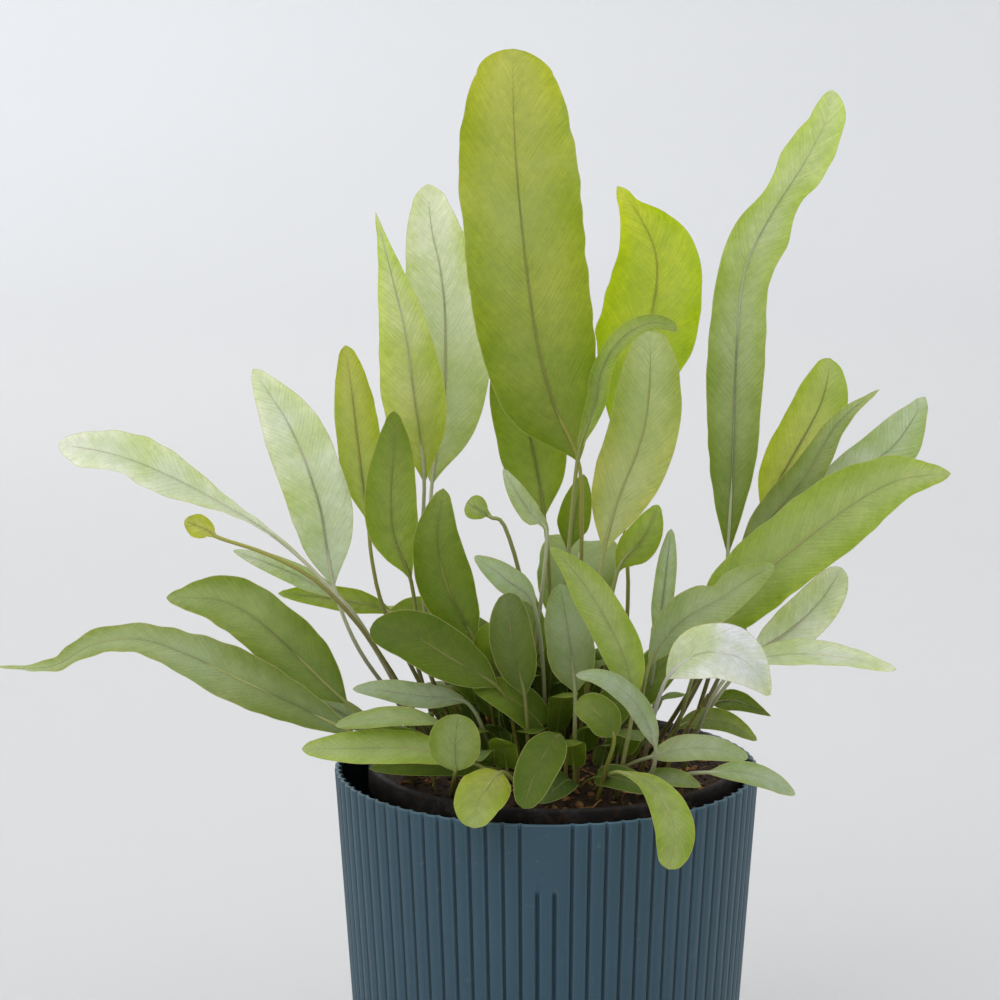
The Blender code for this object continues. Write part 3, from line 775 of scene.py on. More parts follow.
def shoulder(node, t, outwards):
    """The width of one side of the blade here as a share of the other's, for the side that faces outwards."""
    share = 1.0
    for place_, reach, drawn_in, facing in SHOULDERS.get(node, ()):
        if outwards @ np.array(facing, float) > 0:
            share *= 1.0 - drawn_in * near(t, place_, reach)
    return share


def margin_lift(t, s, waves, phases):
    """The fast and the slow wave of one margin here, each from -1 to 1."""
    turn = 0 if s < 0 else 3
    waver = 0.8 * math.sin(math.tau * t * 3 + phases[turn + 1])
    fast = math.sin(math.tau * waves * t + phases[turn] + waver)
    slow = math.sin(math.tau * t * waves / 4.5 + phases[turn + 2])
    return fast, slow


def frond_shape(node, seed):
    """Points, faces and attributes of one frond: its blade as a sheet, its stalk and midrib as a tube."""
    rings = solid_rings(node)
    sections = blade_sections(rings)
    centres = [ring.mean(0) for ring in rings[:STALK_RINGS]] + [section[0] for section in sections]
    places, length = shares_of([section[0] for section in sections])
    halves = [section[3] for section in sections]
    widest = max(halves)
    rng = random.Random(seed)
    phases = [rng.uniform(0, math.tau) for _ in range(6)]
    ruffle = RUFFLES.get(node, USUAL_RUFFLE) * min(1.0, widest / 9.0)
    waves = max(3.0, length / 11.0)
    rows = int(min(96, max(24, length / 1.6)))
    columns = 15 if widest < 4 else 21
    points, along, across_mm, half_mm, shares = [], [], [], [], []
    last = len(sections) - 1
    for row in range(rows + 1):
        t = 1.0 - (1.0 - row / rows) ** 1.25
        at = float(np.interp(t, places, range(len(places))))
        centre = smooth_curve(centres, STALK_RINGS + at)
        way = curve_way(centres, STALK_RINGS + at)
        i = min(int(at), last - 1)
        w = at - i
        side = unit(sections[i][1] * (1 - w) + sections[i + 1][1] * w)
        side = unit(side - way * (side @ way))
        face = np.cross(side, way)
        if i == last - 1:
            half = halves[last - 1] * tip_share(halves[last - 2], halves[last - 1], w)
        else:
            half = float(smooth_curve([np.array([h]) for h in halves], at)[0])
        half = max(LEAST_HALF, half * own_width(node, t))
        centre = centre + tip_bend(node, t)
        cup = 0.12 * half
        settle = min(1.0, t * 6.0) * min(1.0, (1.0 - t) * 5.0 + 0.25)
        for column in range(columns):
            s = 2.0 * column / (columns - 1) - 1.0
            wave, slow = margin_lift(t, s, waves, phases)
            lift = cup * abs(s) ** 1.5 + ruffle * settle * (0.30 * wave * abs(s) ** 4 + 0.70 * slow * s * s)
            swell = noise.noise(Vector((t * 4.0 + phases[0], s * 1.2, seed * 0.37)))
            lift += 0.45 * settle * swell * min(1.0, widest / 8.0)
            nick = noise.noise(Vector((t * length * 0.16, 2.5 if s < 0 else 29.5, seed * 1.7)))
            edge = 1.0 + (0.004 * wave + 0.034 * nick) * abs(s) ** 3 * settle
            edge *= shoulder(node, t, side * s)
            points.append(centre + side * half * s * edge + face * lift)
            along.append(t * length)
            across_mm.append(s * half)
            half_mm.append(half)
            shares.append(t)
    faces = grid_faces(rows + 1, columns)
    blade_faces = len(faces)
    add_stalk(node, centres, sections, places, points, faces, along, across_mm, half_mm, shares)
    indices = [0] * blade_faces + [1] * (len(faces) - blade_faces)
    return points, faces, indices, along, across_mm, half_mm, shares


def add_stalk(node, centres, sections, places, points, faces, along, across_mm, half_mm, shares):
    """A tube from the foot up the stalk, then on under the blade as its midrib, thinning to nothing."""
    sides = 8
    first = len(points)
    steps = 40
    top = STALK_RINGS + 0.88 * (len(sections) - 1)
    foot_radius = 0.80
    neck_radius = 0.62
    for step in range(steps + 1):
        at = top * step / steps
        centre = smooth_curve(centres, at)
        way = curve_way(centres, at)
        if at <= STALK_RINGS:
            share = at / STALK_RINGS
            radius = foot_radius + (neck_radius - foot_radius) * share
            side = sections[0][1]
            sink = 0.0
        else:
            share = 1.0
            up = (at - STALK_RINGS) / (top - STALK_RINGS)
            i = min(int(at - STALK_RINGS), len(sections) - 2)
            side = sections[i][1]
            radius = neck_radius * (1.0 - up) ** 0.8 + 0.05
            sink = min(1.0, up * 8.0) * radius * 0.92
            centre = centre + tip_bend(node, float(np.interp(at - STALK_RINGS, range(len(places)), places)))
        side = unit(side - way * (side @ way))
        face = np.cross(side, way)
        for corner in range(sides):
            angle = math.tau * corner / sides
            points.append(centre + side * radius * math.cos(angle) + face * (radius * math.sin(angle) - sink))
            along.append(0.0)
            across_mm.append(0.0)
            half_mm.append(5.0)
            shares.append(share)
    faces.extend(grid_faces(steps + 1, sides, True, first))
    faces.append(tuple(first + corner for corner in reversed(range(sides))))
    end = first + steps * sides
    faces.append(tuple(end + corner for corner in range(sides)))


def tint_values(base, tip, shares, rng):
    """A colour for each point, from base to tip, a little lighter or darker for each frond."""
    low = np.array(colour(*base))
    high = np.array(colour(*tip))
    t = np.clip(np.asarray(shares, float), 0, 1)[:, None] ** 1.1
    tints = low * (1 - t) + high * t
    tints[:, :3] *= rng.uniform(0.97, 1.03)
    return tints


class FERN_OT_fronds(bpy.types.Operator):
    """Builds every frond around its own solid."""

    bl_idname = "fern.fronds"
    bl_label = "Fronds"

    def execute(self, context):
        sizes = context.scene.fern_sizes
        colours = context.scene.fern_colours
        blade = leaf_material(sizes, colours)
        stalk = stalk_material(colours)
        for seed, node in enumerate(sorted(FROND_TINTS)):
            points, faces, indices, along, across, half, shares = frond_shape(node, seed + 1)
            obj = finish_mesh("leafy_" + node, points, faces, [blade, stalk], True, indices)
            set_values(obj, "along_mm", along)
            set_values(obj, "across_mm", across)
            set_values(obj, "half_mm", half)
            set_values(obj, "share", shares)
            bloom, vivid = BLOOM_SHARES[NODE_SLOTS[node]]
            set_values(obj, "bloom", [bloom] * len(points))
            set_values(obj, "vivid", [vivid] * len(points))
            base, tip = [LEAF_COLOURS[name] for name in FROND_TINTS[node]]
            set_tints(obj, "tint", tint_values(base, tip, shares, random.Random(seed)))
            place(obj, node)
        return {"FINISHED"}


# Cover pot


def groove_depth(angle, height, top):
    """How far the wall is pushed in here, how much painted highlight lies along a groove's border, and how
    much painted shade lies down in the groove.
    """
    pitch = math.tau / RIB_COUNT
    turns = (angle + math.pi / 2 + PANEL_RIBS * pitch / 2) / pitch
    groove = round(turns) % RIB_COUNT
    off = abs(turns - round(turns))
    half = GROOVE_SHARE / 2
    depth = RIB_DEPTH
    if 1 <= groove < PANEL_RIBS:
        depth *= min(1.0, max(0.0, (top - PANEL_DROP - height) / 1.6)) ** 0.5
    crown = 0.0 if off < half else (0.5 - off) / (0.5 - half)
    dip = depth * (1.0 - (off / half) ** 1.5) if off < half else 0.0
    if groove < 1 or groove >= PANEL_RIBS:
        dip += 0.42 * crown**2
    # Painted highlight along each groove's border, where the rounded rib turns to the light.
    edge = math.exp(-(((off - half) / 0.05) ** 2)) * min(1.0, depth)
    # The groove's depth share also sets its painted shade.
    return dip, edge, dip / RIB_DEPTH


class FERN_OT_cover_pot(bpy.types.Operator):
    """Builds the ribbed cover pot, its rounded rim and its inside."""

    bl_idname = "fern.cover_pot"
    bl_label = "Cover pot"

    def execute(self, context):
        colours = context.scene.fern_colours
        low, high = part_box("cover_pot")
        top = high.z / MM
        rim_radius = (high.x - low.x) / MM / 2
        slope = (rim_radius - COVER_BASE_RADIUS) / top
        outside = cover_material("cover_plastic", tuple(colours.cover))
        # The inside is a darker copy of the outside plastic: painted shade.
        inside = cover_material("cover_plastic_inside_painted_shade", tuple(colours.inside))
        per_rib = 14
        columns = RIB_COUNT * per_rib
        start = -math.pi / 2 - PANEL_RIBS * math.pi / RIB_COUNT
        round_over = 0.6
        levels = [(0.0, -0.9, 0), (0.25, -0.25, 0), (0.9, 0.0, 0)]
        levels += [(height, 0.0, 0) for height in np.linspace(4.0, top - PANEL_DROP - 2.4, 10)]
        panel_foot = (-1.6, -1.1, -0.7, -0.4, -0.2, -0.05, 0.3)
        levels += [(top - PANEL_DROP + shift, 0.0, 0) for shift in panel_foot]
        levels += [(height, 0.0, 0) for height in np.linspace(top - 16, top - 2.0, 4)]
        for step in range(5):
            angle = step / 4 * math.pi / 2
            inset = -round_over * (1 - math.cos(angle))
            levels.append((top - round_over + round_over * math.sin(angle), inset, 0))
        for step in range(1, 5):
            angle = math.pi / 2 - step / 4 * math.pi / 2
            inset = -COVER_WALL + round_over * (1 - math.cos(angle))
            levels.append((top - round_over + round_over * math.sin(angle), inset, 0))
        levels += [(top - 1.4, -COVER_WALL, 0)]
        levels += [(height, -COVER_WALL, 1) for height in (top - 4.0, top - 20.0, 60.0, COVER_FLOOR + 1.5)]
        levels += [(COVER_FLOOR, -COVER_WALL - 1.5, 1)]
        points, highlight_shares, groove_shade, faces, indices = [], [], [], [], []
        for height, inset, _ in levels:
            for column in range(columns):
                angle = start + math.tau * column / columns
                dip, edge, deep = groove_depth(angle, height, top)
                # Grooves on the rounded rim and on the inside get no painted shade.
                if height > top - round_over * 1.5 or inset < -1.0:
                    deep = 0.0
                # The rounded rim's outer face gets the full painted highlight.
                if height > top - round_over and inset > -COVER_WALL:
                    edge = RIM_HIGHLIGHT
                radius = COVER_BASE_RADIUS + slope * height + inset - dip
                points.append((radius * math.cos(angle), radius * math.sin(angle), height))
                highlight_shares.append(edge)
                groove_shade.append(deep)
        faces = grid_faces(len(levels), columns, True)
        for row in range(len(levels) - 1):
            indices += [levels[row + 1][2]] * columns
        for row, flip, part in ((0, True, 0), (len(levels) - 1, False, 1)):
            middle = len(points)
            points.append((0.0, 0.0, levels[row][0]))
            highlight_shares.append(0.0)
            groove_shade.append(0.0)
            for column in range(columns):
                a = row * columns + column
                b = row * columns + (column + 1) % columns
                faces.append((middle, b, a) if flip else (middle, a, b))
                indices.append(part)
        obj = finish_mesh("cover_pot_ribbed", points, faces, [outside, inside], True, indices)
        set_values(obj, "rib_painted_highlight", highlight_shares)
        # The groove attribute carries the share of painted shade.
        set_values(obj, "groove", groove_shade)
        place(obj, "cover_pot")
        return {"FINISHED"}


# Nursery pot


def turned(profile, sides, centre):
    """Points of a (radius, height) profile turned about an upright axis, row after row."""
    points = []
    for radius, height in profile:
        for side in range(sides):
            angle = math.tau * side / sides
            x = centre[0] + radius * math.cos(angle)
            points.append((x, centre[1] + radius * math.sin(angle), height))
    return points


def nursery_place():
    """Centre, rim radius, top and bottom of the nursery pot."""
    low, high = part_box("nursery_pot")
    centre = ((low.x + high.x) / 2 / MM, (low.y + high.y) / 2 / MM)
    return centre, (high.x - low.x) / 2 / MM, high.z / MM, low.z / MM


NURSERY_PLACE = nursery_place()


class FERN_OT_nursery_pot(bpy.types.Operator):
    """Builds the thin nursery pot with its rolled rim and drain holes."""

    bl_idname = "fern.nursery_pot"
    bl_label = "Nursery pot"

    def execute(self, context):
        centre, rim, top, bottom = NURSERY_PLACE
        skirt = top - NURSERY_RIM_DEPTH
        neck = rim - NURSERY_RIM_STEP
        floor = bottom + NURSERY_FLOOR

        def wall(height):
            return NURSERY_BASE_RADIUS + (neck - NURSERY_BASE_RADIUS) * (height - bottom) / (top - bottom)

        profile = [(0.5, bottom), (NURSERY_BASE_RADIUS - 1.0, bottom), (NURSERY_BASE_RADIUS, bottom + 0.8)]
        profile += [(wall(height), height) for height in (30.0, 60.0, 90.0, skirt - 0.3, skirt)]
        profile += [(rim - 0.35, skirt), (rim, skirt + 0.4), (rim, top - 1.1)]
        for step in range(1, 6):
            angle = step / 6 * math.pi
            profile.append((rim - 0.95 + 0.95 * math.cos(angle), top - 0.95 + 0.95 * math.sin(angle)))
        profile.append((wall(top) - NURSERY_WALL, top - 1.2))
        profile += [(wall(height) - NURSERY_WALL, height) for height in (80, floor)]
        profile.append((0.5, floor))
        sides = 120
        points = turned(profile, sides, centre)
        faces = grid_faces(len(profile), sides, True)
        faces.append(tuple(reversed(range(sides))))
        end = (len(profile) - 1) * sides
        faces.append(tuple(end + side for side in range(sides)))
        obj = finish_mesh("nursery_pot_thin", points, faces, [nursery_material(context.scene.fern_colours)])
        cutters = []
        for number in range(DRAIN_HOLES):
            angle = math.tau * (number + 0.5) / DRAIN_HOLES
            bpy.ops.mesh.primitive_cylinder_add(
                vertices=24,
                radius=DRAIN_HOLE_RADIUS * MM,
                depth=4 * NURSERY_FLOOR * MM,
                location=(
                    (centre[0] + DRAIN_CIRCLE_RADIUS * math.cos(angle)) * MM,
                    (centre[1] + DRAIN_CIRCLE_RADIUS * math.sin(angle)) * MM,
                    (bottom + NURSERY_FLOOR / 2) * MM,
                ),
            )
            cutters.append(context.object)
            cut = obj.modifiers.new("drain", "BOOLEAN")
            cut.operation = "DIFFERENCE"
            cut.solver = "EXACT"
            cut.object = cutters[-1]
        graph = context.evaluated_depsgraph_get()
        cut_mesh = bpy.data.meshes.new_from_object(obj.evaluated_get(graph))
        obj.modifiers.clear()
        obj.data = cut_mesh
        for cutter in cutters:
            bpy.data.objects.remove(cutter, do_unlink=True)
        place(obj, "nursery_pot")
        return {"FINISHED"}


# Potting mix


def mix_place():
    """Centre, radius, edge height, mound and bottom of the potting mix."""
    centre, _, top, _ = NURSERY_PLACE
    low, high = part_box("potting_mix")
    edge = top - MIX_EDGE_BELOW_RIM
    return centre, (high.x - low.x) / 2 / MM, edge, high.z / MM - edge, low.z / MM


MIX_PLACE = mix_place()


def mix_height(x, y):
    """Height of the mounded, lumpy surface over a point."""
    centre, radius, edge, mound, _ = MIX_PLACE
    share = min(1.0, math.hypot(x - centre[0], y - centre[1]) / radius)
    lumps = noise.fractal(Vector((x * 0.16, y * 0.16, 3.1)), 0.9, 2.1, 4)
    return edge + mound * (1.0 - share * share) + 0.9 * lumps * (1.0 - share**8)


def bit_shape(kind, rng):
    """A bark chip, crumb or fibre about the origin, as points and faces."""
    if kind == "fibre":
        length = rng.uniform(5, 15)
        bend = rng.uniform(-0.6, 0.6)
        thick = rng.uniform(0.10, 0.22)
        points, steps = [], 6
        for step in range(steps + 1):
            t = step / steps - 0.5
            middle = (t * length, bend * length * (0.25 - t * t) * 2, abs(bend) * 2 * (0.25 - t * t) * 2)
            for corner in range(3):
                angle = math.tau * corner / 3
                y = middle[1] + thick * math.cos(angle)
                points.append((middle[0], y, middle[2] + thick * math.sin(angle)))
        return points, grid_faces(steps + 1, 3, True) + [(2, 1, 0), (steps * 3, steps * 3 + 1, steps * 3 + 2)]
    long = rng.uniform(1.6, 4.6) if kind == "chip" else rng.uniform(0.6, 1.6)
    wide = long * rng.uniform(0.35, 0.8)
    thick = long * rng.uniform(0.15, 0.4)
    sides = rng.choice((5, 6, 7))
    points = []
    for level, shrink in ((-1, 0.75), (0.1, 1.0), (1, 0.7)):
        for corner in range(sides):
            angle = math.tau * corner / sides
            reach = shrink * rng.uniform(0.8, 1.15)
            x = long / 2 * reach * math.cos(angle)
            points.append((x, wide / 2 * reach * math.sin(angle), thick / 2 * level))
    faces = grid_faces(3, sides, True)
    faces += [tuple(reversed(range(sides))), tuple(range(2 * sides, 3 * sides))]
    return points, faces


def scatter_bits(points, faces, tints, kind, count, shade, rng):
    """Adds bits, each turned its own way, on the surface of the mix."""
    centre, radius, _, _, _ = MIX_PLACE
    for _ in range(count):
        away = radius * 0.985 * math.sqrt(rng.random())
        angle = rng.uniform(0, math.tau)
        x = centre[0] + away * math.cos(angle)
        y = centre[1] + away * math.sin(angle)
        shape, shape_faces = bit_shape(kind, rng)
        lean = 0.5 if kind == "fibre" else 0.9
        turn = Matrix.Rotation(rng.uniform(0, math.tau), 3, "Z")
        for axis in "XY":
            turn = turn @ Matrix.Rotation(rng.uniform(-lean, lean), 3, axis)
        lift = mix_height(x, y) + rng.uniform(-0.3, 0.5)
        first = len(points)
        dark = rng.uniform(0.45, 1.25)
        for point in shape:
            at = turn @ Vector(point)
            off_x = x + at.x - centre[0]
            off_y = y + at.y - centre[1]
            pull = min(1.0, radius * 0.99 / max(math.hypot(off_x, off_y), 1e-6))
            points.append((centre[0] + off_x * pull, centre[1] + off_y * pull, lift + at.z))
            tints.append([channel * dark for channel in shade[:3]] + [1.0])
        faces.extend(tuple(first + i for i in face) for face in shape_faces)


class FERN_OT_potting_mix(bpy.types.Operator):
    """Builds the mounded mix with its bark chips, crumbs and fibres."""

    bl_idname = "fern.potting_mix"
    bl_label = "Potting mix"

    def execute(self, context):
        sizes = context.scene.fern_sizes
        colours = context.scene.fern_colours
        rng = random.Random(11)
        centre, radius, _, _, bottom = MIX_PLACE
        points, tints = [], []
        rows, columns = 60, 180
        for row in range(rows + 1):
            away = radius * (1.0 - row / rows * 0.995)
            for column in range(columns):
                angle = math.tau * column / columns
                x = centre[0] + away * math.cos(angle)
                y = centre[1] + away * math.sin(angle)
                crumbs = noise.noise(Vector((x * 0.9, y * 0.9, 7.7))) * 0.45 if 0 < row else 0.0
                points.append((x, y, mix_height(x, y) + crumbs))
                dark = 0.7 + 0.6 * noise.noise(Vector((x * 0.35, y * 0.35, 1.3)))
                tints.append([channel * max(0.25, dark) for channel in colours.mix[:3]] + [1.0])
        faces = grid_faces(rows + 1, columns, True)
        faces.append(tuple(rows * columns + column for column in range(columns)))
        foot = len(points)
        foot_radius = NURSERY_BASE_RADIUS - NURSERY_WALL
        for column in range(columns):
            angle = math.tau * column / columns
            x = centre[0] + foot_radius * math.cos(angle)
            points.append((x, centre[1] + foot_radius * math.sin(angle), bottom))
            tints.append([channel * 0.6 for channel in colours.mix[:3]] + [1.0])
        for column in range(columns):
            after = (column + 1) % columns
            faces.append((foot + column, foot + after, after, column))
        faces.append(tuple(foot + column for column in reversed(range(columns))))
        scatter_bits(points, faces, tints, "chip", sizes.chip_count, colours.chip, rng)
        scatter_bits(points, faces, tints, "crumb", sizes.chip_count * 2, colours.mix, rng)
        scatter_bits(points, faces, tints, "fibre", sizes.fibre_count, colours.fibre, rng)
        obj = finish_mesh("potting_mix_loose", points, faces, [mix_material()], False)
        set_tints(obj, "tint", tints)
        place(obj, "potting_mix")
        return {"FINISHED"}


# Rhizome and twig


def rod_centres(node, rings):
    """Middles of the level rings of a rod-shaped solid, found by slicing it along its longest way."""
    mesh = frame["nodes"][node].data
    co = np.array([vertex.co for vertex in mesh.vertices], float) / MM
    middle = co.mean(0)
    way = np.linalg.svd(co - middle, full_matrices=False)[2][0]
    if way[2] + way[0] < 0:
        way = -way
    reach = (co - middle) @ way
    cuts = np.linspace(reach.min(), reach.max(), rings)
    width = (reach.max() - reach.min()) / (rings - 1)
    centres = []
    for cut in cuts:
        near = co[np.abs(reach - cut) <= width * 0.6]
        centres.append(near.mean(0) if len(near) else middle + way * cut)
    return centres


def rod_shape(centres, radii, sides, rough, seed):
    """Points and faces of a rough rod along a curve."""
    points = []
    steps = len(radii)
    for step, radius in enumerate(radii):
        at = (len(centres) - 1) * step / (steps - 1)
        centre = smooth_curve(centres, at)
        way = curve_way(centres, at)
        side = unit(np.cross(way, np.array((0.2, 0.3, 1.0))))
        up = np.cross(side, way)
        for corner in range(sides):
            angle = math.tau * corner / sides
            spot = Vector((step * 0.9, math.cos(angle) * 2, math.sin(angle) * 2 + seed))
            swell = 1.0 + rough * noise.noise(spot)
            points.append(centre + (side * math.cos(angle) + up * math.sin(angle)) * radius * swell)
    faces = grid_faces(steps, sides, True)
    faces.append(tuple(reversed(range(sides))))
    faces.append(tuple((steps - 1) * sides + corner for corner in range(sides)))
    return points, faces


SCALE_COUNT = 420


class FERN_OT_rhizome(bpy.types.Operator):
    """Builds the scaly rhizome on the mix and the dry forked twig."""

    bl_idname = "fern.rhizome"
    bl_label = "Rhizome and twig"

    def execute(self, context):
        colours = context.scene.fern_colours
        material = mix_material()
        rng = random.Random(5)
        centres = rod_centres("rhizome", 6)
        radii = [3.1 * math.sin(math.pi * (0.06 + 0.88 * i / 29)) ** 0.35 for i in range(30)]
        points, faces = rod_shape(centres, radii, 18, 0.16, 2.0)
        tints = [[channel * 0.5 for channel in colours.rhizome[:3]] + [1.0]] * len(points)
        points = list(points)
        for _ in range(SCALE_COUNT):
            at = rng.uniform(0.1, len(centres) - 1.1)
            centre = smooth_curve(centres, at)
            way = curve_way(centres, at)
            side = unit(np.cross(way, np.array((0.2, 0.3, 1.0))))
            up = np.cross(side, way)
            angle = rng.uniform(0, math.tau)
            out = side * math.cos(angle) + up * math.sin(angle)
            root = centre + out * 2.9
            lean = unit(way * rng.choice((-1, 1)) + out * rng.uniform(0.2, 0.7))
            span = unit(np.cross(lean, out)) * rng.uniform(0.25, 0.45)
            first = len(points)
            reach = rng.uniform(1.2, 2.4)
            shoulders = root + lean * reach * 0.6
            points += [root - span, root + span, shoulders + span * 0.6]
            points += [root + lean * reach, shoulders - span * 0.6]
            faces.append((first, first + 1, first + 2, first + 3, first + 4))
            dark = rng.uniform(0.5, 1.4)
            tints += [[channel * dark for channel in colours.rhizome[:3]] + [1.0]] * 5
        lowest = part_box("rhizome")[0].z / MM
        points = [(p[0], p[1], max(p[2], lowest)) for p in points]
        obj = finish_mesh("rhizome_scaly", points, faces, [material], False)
        set_tints(obj, "tint", tints)
        place(obj, "rhizome")
        self.build_twig(colours, material)
        return {"FINISHED"}

    def build_twig(self, colours, material):
        """Builds the dry stalk with its fork."""
        centres = rod_centres("twig", 5)
        points, faces = rod_shape(centres, [0.75 - 0.45 * i / 23 for i in range(24)], 8, 0.25, 4.0)
        root = smooth_curve(centres, 2.2)
        fork = [root, root + np.array((3.0, 0.6, 4.5)), root + np.array((5.0, 0.4, 9.0))]
        extra, extra_faces = rod_shape(fork, [0.45 - 0.2 * i / 9 for i in range(10)], 6, 0.2, 6.0)
        first = len(points)
        points = list(points) + list(extra)
        faces = faces + [tuple(first + i for i in face) for face in extra_faces]
        obj = finish_mesh("twig_forked", points, faces, [material])
        shade = colours.stalk_foot[:3]
        set_tints(obj, "tint", [[channel * 1.3 for channel in shade] + [1.0]] * len(points))
        place(obj, "twig")


# Young fronds low among the stalks

# The crown that the young fronds grow from, off the middle of the mix, in millimetres
CROWN_SHIFT = (-9.0, -4.0)


def young_course(root, way, length, lean):
    """Points of a short stalk that leans over into a little blade."""
    up = np.array((0.0, 0.0, 1.0))
    out = np.array((math.cos(way), math.sin(way), 0.0))
    neck = root + up * length * 0.34 + out * length * 0.06 * lean
    middle = neck + up * length * 0.34 + out * length * 0.16 * lean
    tip = middle + up * length * (0.30 - 0.26 * lean) + out * length * 0.30 * lean
    arch = (middle + tip) / 2 + up * 0.8 * lean
    return [root, (root + neck) / 2, neck, (neck + middle) / 2, middle, arch, tip]


def young_frond(centres, side, width, seed):
    """A small frond along these seven points: a stalk up to the third, then a blade."""
    points, along, across_mm, half_mm, shares = [], [], [], [], []
    rows, columns = 18, 9
    for row in range(rows + 1):
        t = row / rows
        at = 2.0 + 4.0 * t
        centre = smooth_curve(centres, at)
        direction = curve_way(centres, at)
        here = unit(side - direction * (side @ direction))
        face = np.cross(here, direction)
        half = max(0.1, width / 2 * math.sin(math.pi * min(1.0, 0.08 + 0.92 * t**0.75)) ** 0.55)
        for column in range(columns):
            s = 2.0 * column / (columns - 1) - 1.0
            lift = 0.16 * half * abs(s) ** 1.5 + 0.25 * math.sin(t * 9 + seed + s * 2) * s * s
            points.append(centre + here * half * s + face * lift)
            along.append(t * width * 2.5)
            across_mm.append(s * half)
            half_mm.append(half)
            shares.append(t)
    faces = grid_faces(rows + 1, columns)
    indices = [0] * len(faces)
    first = len(points)
    sides, steps = 6, 14
    for step in range(steps + 1):
        at = 4.6 * step / steps
        radius = 0.55 * (1.0 - 0.75 * step / steps)
        centre = smooth_curve(centres, at)
        direction = curve_way(centres, at)
        here = unit(side - direction * (side @ direction))
        face = np.cross(here, direction)
        sink = radius * 0.6 if at > 2.2 else 0.0
        for corner in range(sides):
            angle = math.tau * corner / sides
            points.append(centre + here * radius * math.cos(angle) + face * (radius * math.sin(angle) - sink))
            along.append(0.0)
            across_mm.append(0.0)
            half_mm.append(5.0)
            shares.append(min(1.0, at / 2.2))
    tube = grid_faces(steps + 1, sides, True, first)
    tube.append(tuple(first + corner for corner in reversed(range(sides))))
    faces += tube
    indices += [1] * len(tube)
    return points, faces, indices, along, across_mm, half_mm, shares


# Small fronds at chosen places: points from the mix to the tip, width, the blade's facing, and its colours
CHOSEN_YOUNG = (
    (((-6, -28, 130), (-14, -36, 138), (-26, -41, 141), (-42, -45, 142), (-56, -46, 141)), 11, (0, -6, 8),
     ((92, 110, 8), (112, 130, 40))),
    (((4, -34, 130), (8, -42, 136), (6, -48, 138), (2, -53, 136), (-3, -56, 133)), 9, (0, -7, 6),
     ((70, 92, 26), (92, 112, 50))),
    (((10, -34, 130), (14, -42, 137), (20, -47, 139), (27, -50, 138), (34, -51, 135)), 9, (0, -7, 7),
     ((76, 96, 20), (100, 120, 44))),
    (((26, -28, 130), (30, -35, 135), (36, -40, 137), (42, -43, 137), (49, -44, 135)), 8, (0, -5, 8),
     ((122, 136, 84), (150, 160, 112))),
    (((-22, -22, 130), (-32, -30, 138), (-40, -34, 144), (-49, -37, 148), (-60, -38, 150)), 12, (0, -6, 8),
     ((84, 102, 20), (108, 124, 44))),
    (((-2, -20, 130), (0, -26, 146), (-6, -30, 156), (-14, -33, 162), (-24, -34, 165)), 13, (2, -8, 5),
     ((84, 104, 12), (120, 138, 36))),
    (((8, -16, 130), (12, -22, 144), (19, -27, 154), (25, -29, 161), (30, -30, 168)), 12, (-2, -9, 3),
     ((76, 96, 14), (110, 128, 40))),
    (((-10, -6, 130), (-18, -10, 150), (-26, -13, 164), (-36, -15, 174), (-47, -16, 180)), 14, (2, -8, 5),
     ((96, 114, 44), (132, 146, 92))),
    (((2, -4, 130), (0, -8, 150), (-3, -10, 166), (-6, -11, 180), (-7, -11, 194)), 13, (0, -9, 2),
     ((98, 112, 60), (134, 148, 104))),
    (((18, -2, 130), (26, -6, 148), (33, -8, 160), (41, -9, 171), (48, -9, 182)), 13, (-2, -9, 3),
     ((92, 110, 40), (128, 144, 86))),
)


# The two colours, at base and tip, that the scattered young fronds are drawn from
YOUNG_SHADES = (
    ((62, 80, 8), (100, 118, 20)),
    ((84, 102, 10), (122, 138, 36)),
    ((78, 96, 24), (120, 136, 76)),
)
GOLDEN_SHARE = 0.381966
YOUNG_SINK = 0.6


def scattered_young(count, rng):
    """Course, side, width and colours of fronds spread about the crown, the longest in its middle."""
    centre = MIX_PLACE[0]
    plan = []
    for number in range(count):
        turn = math.tau * (number * GOLDEN_SHARE)
        crowded = number < 0.6 * count
        away = rng.uniform(3, 20) if crowded else rng.uniform(16, 44)
        x = centre[0] + CROWN_SHIFT[0] + away * math.cos(turn)
        y = centre[1] + CROWN_SHIFT[1] + away * math.sin(turn)
        root = np.array((x, y, mix_height(x, y) - YOUNG_SINK))
        if crowded:
            length = rng.uniform(28, 58)
            width = length * rng.uniform(0.20, 0.30)
            lean = rng.uniform(0.25, 1.1)
        else:
            length = rng.uniform(15, 30)
            width = length * rng.uniform(0.34, 0.5)
            lean = rng.uniform(0.6, 1.5)
        way = turn + rng.uniform(-0.6, 0.6)
        out = np.array((math.cos(way), math.sin(way), 0.0))
        side = unit(np.array((-out[1], out[0], 0.0)) + out * rng.uniform(-0.5, 0.5))
        shade = YOUNG_SHADES[rng.randrange(len(YOUNG_SHADES))]
        plan.append((young_course(root, way, length, lean), side, width, shade))
    return plan


def chosen_young():
    """Course, side, width and colours of the fronds at chosen places, each rooted in the mix."""
    plan = []
    for course, width, facing, shade in CHOSEN_YOUNG:
        course = [np.array(point, float) for point in course]
        x, y = course[0][:2]
        course[0][2] = mix_height(x, y) - YOUNG_SINK
        centres = [smooth_curve(course, 4.0 * i / 6) for i in range(7)]
        side = unit(np.cross(course[-1] - course[1], np.array(facing, float)))
        plan.append((centres, side, width, shade))
    return plan


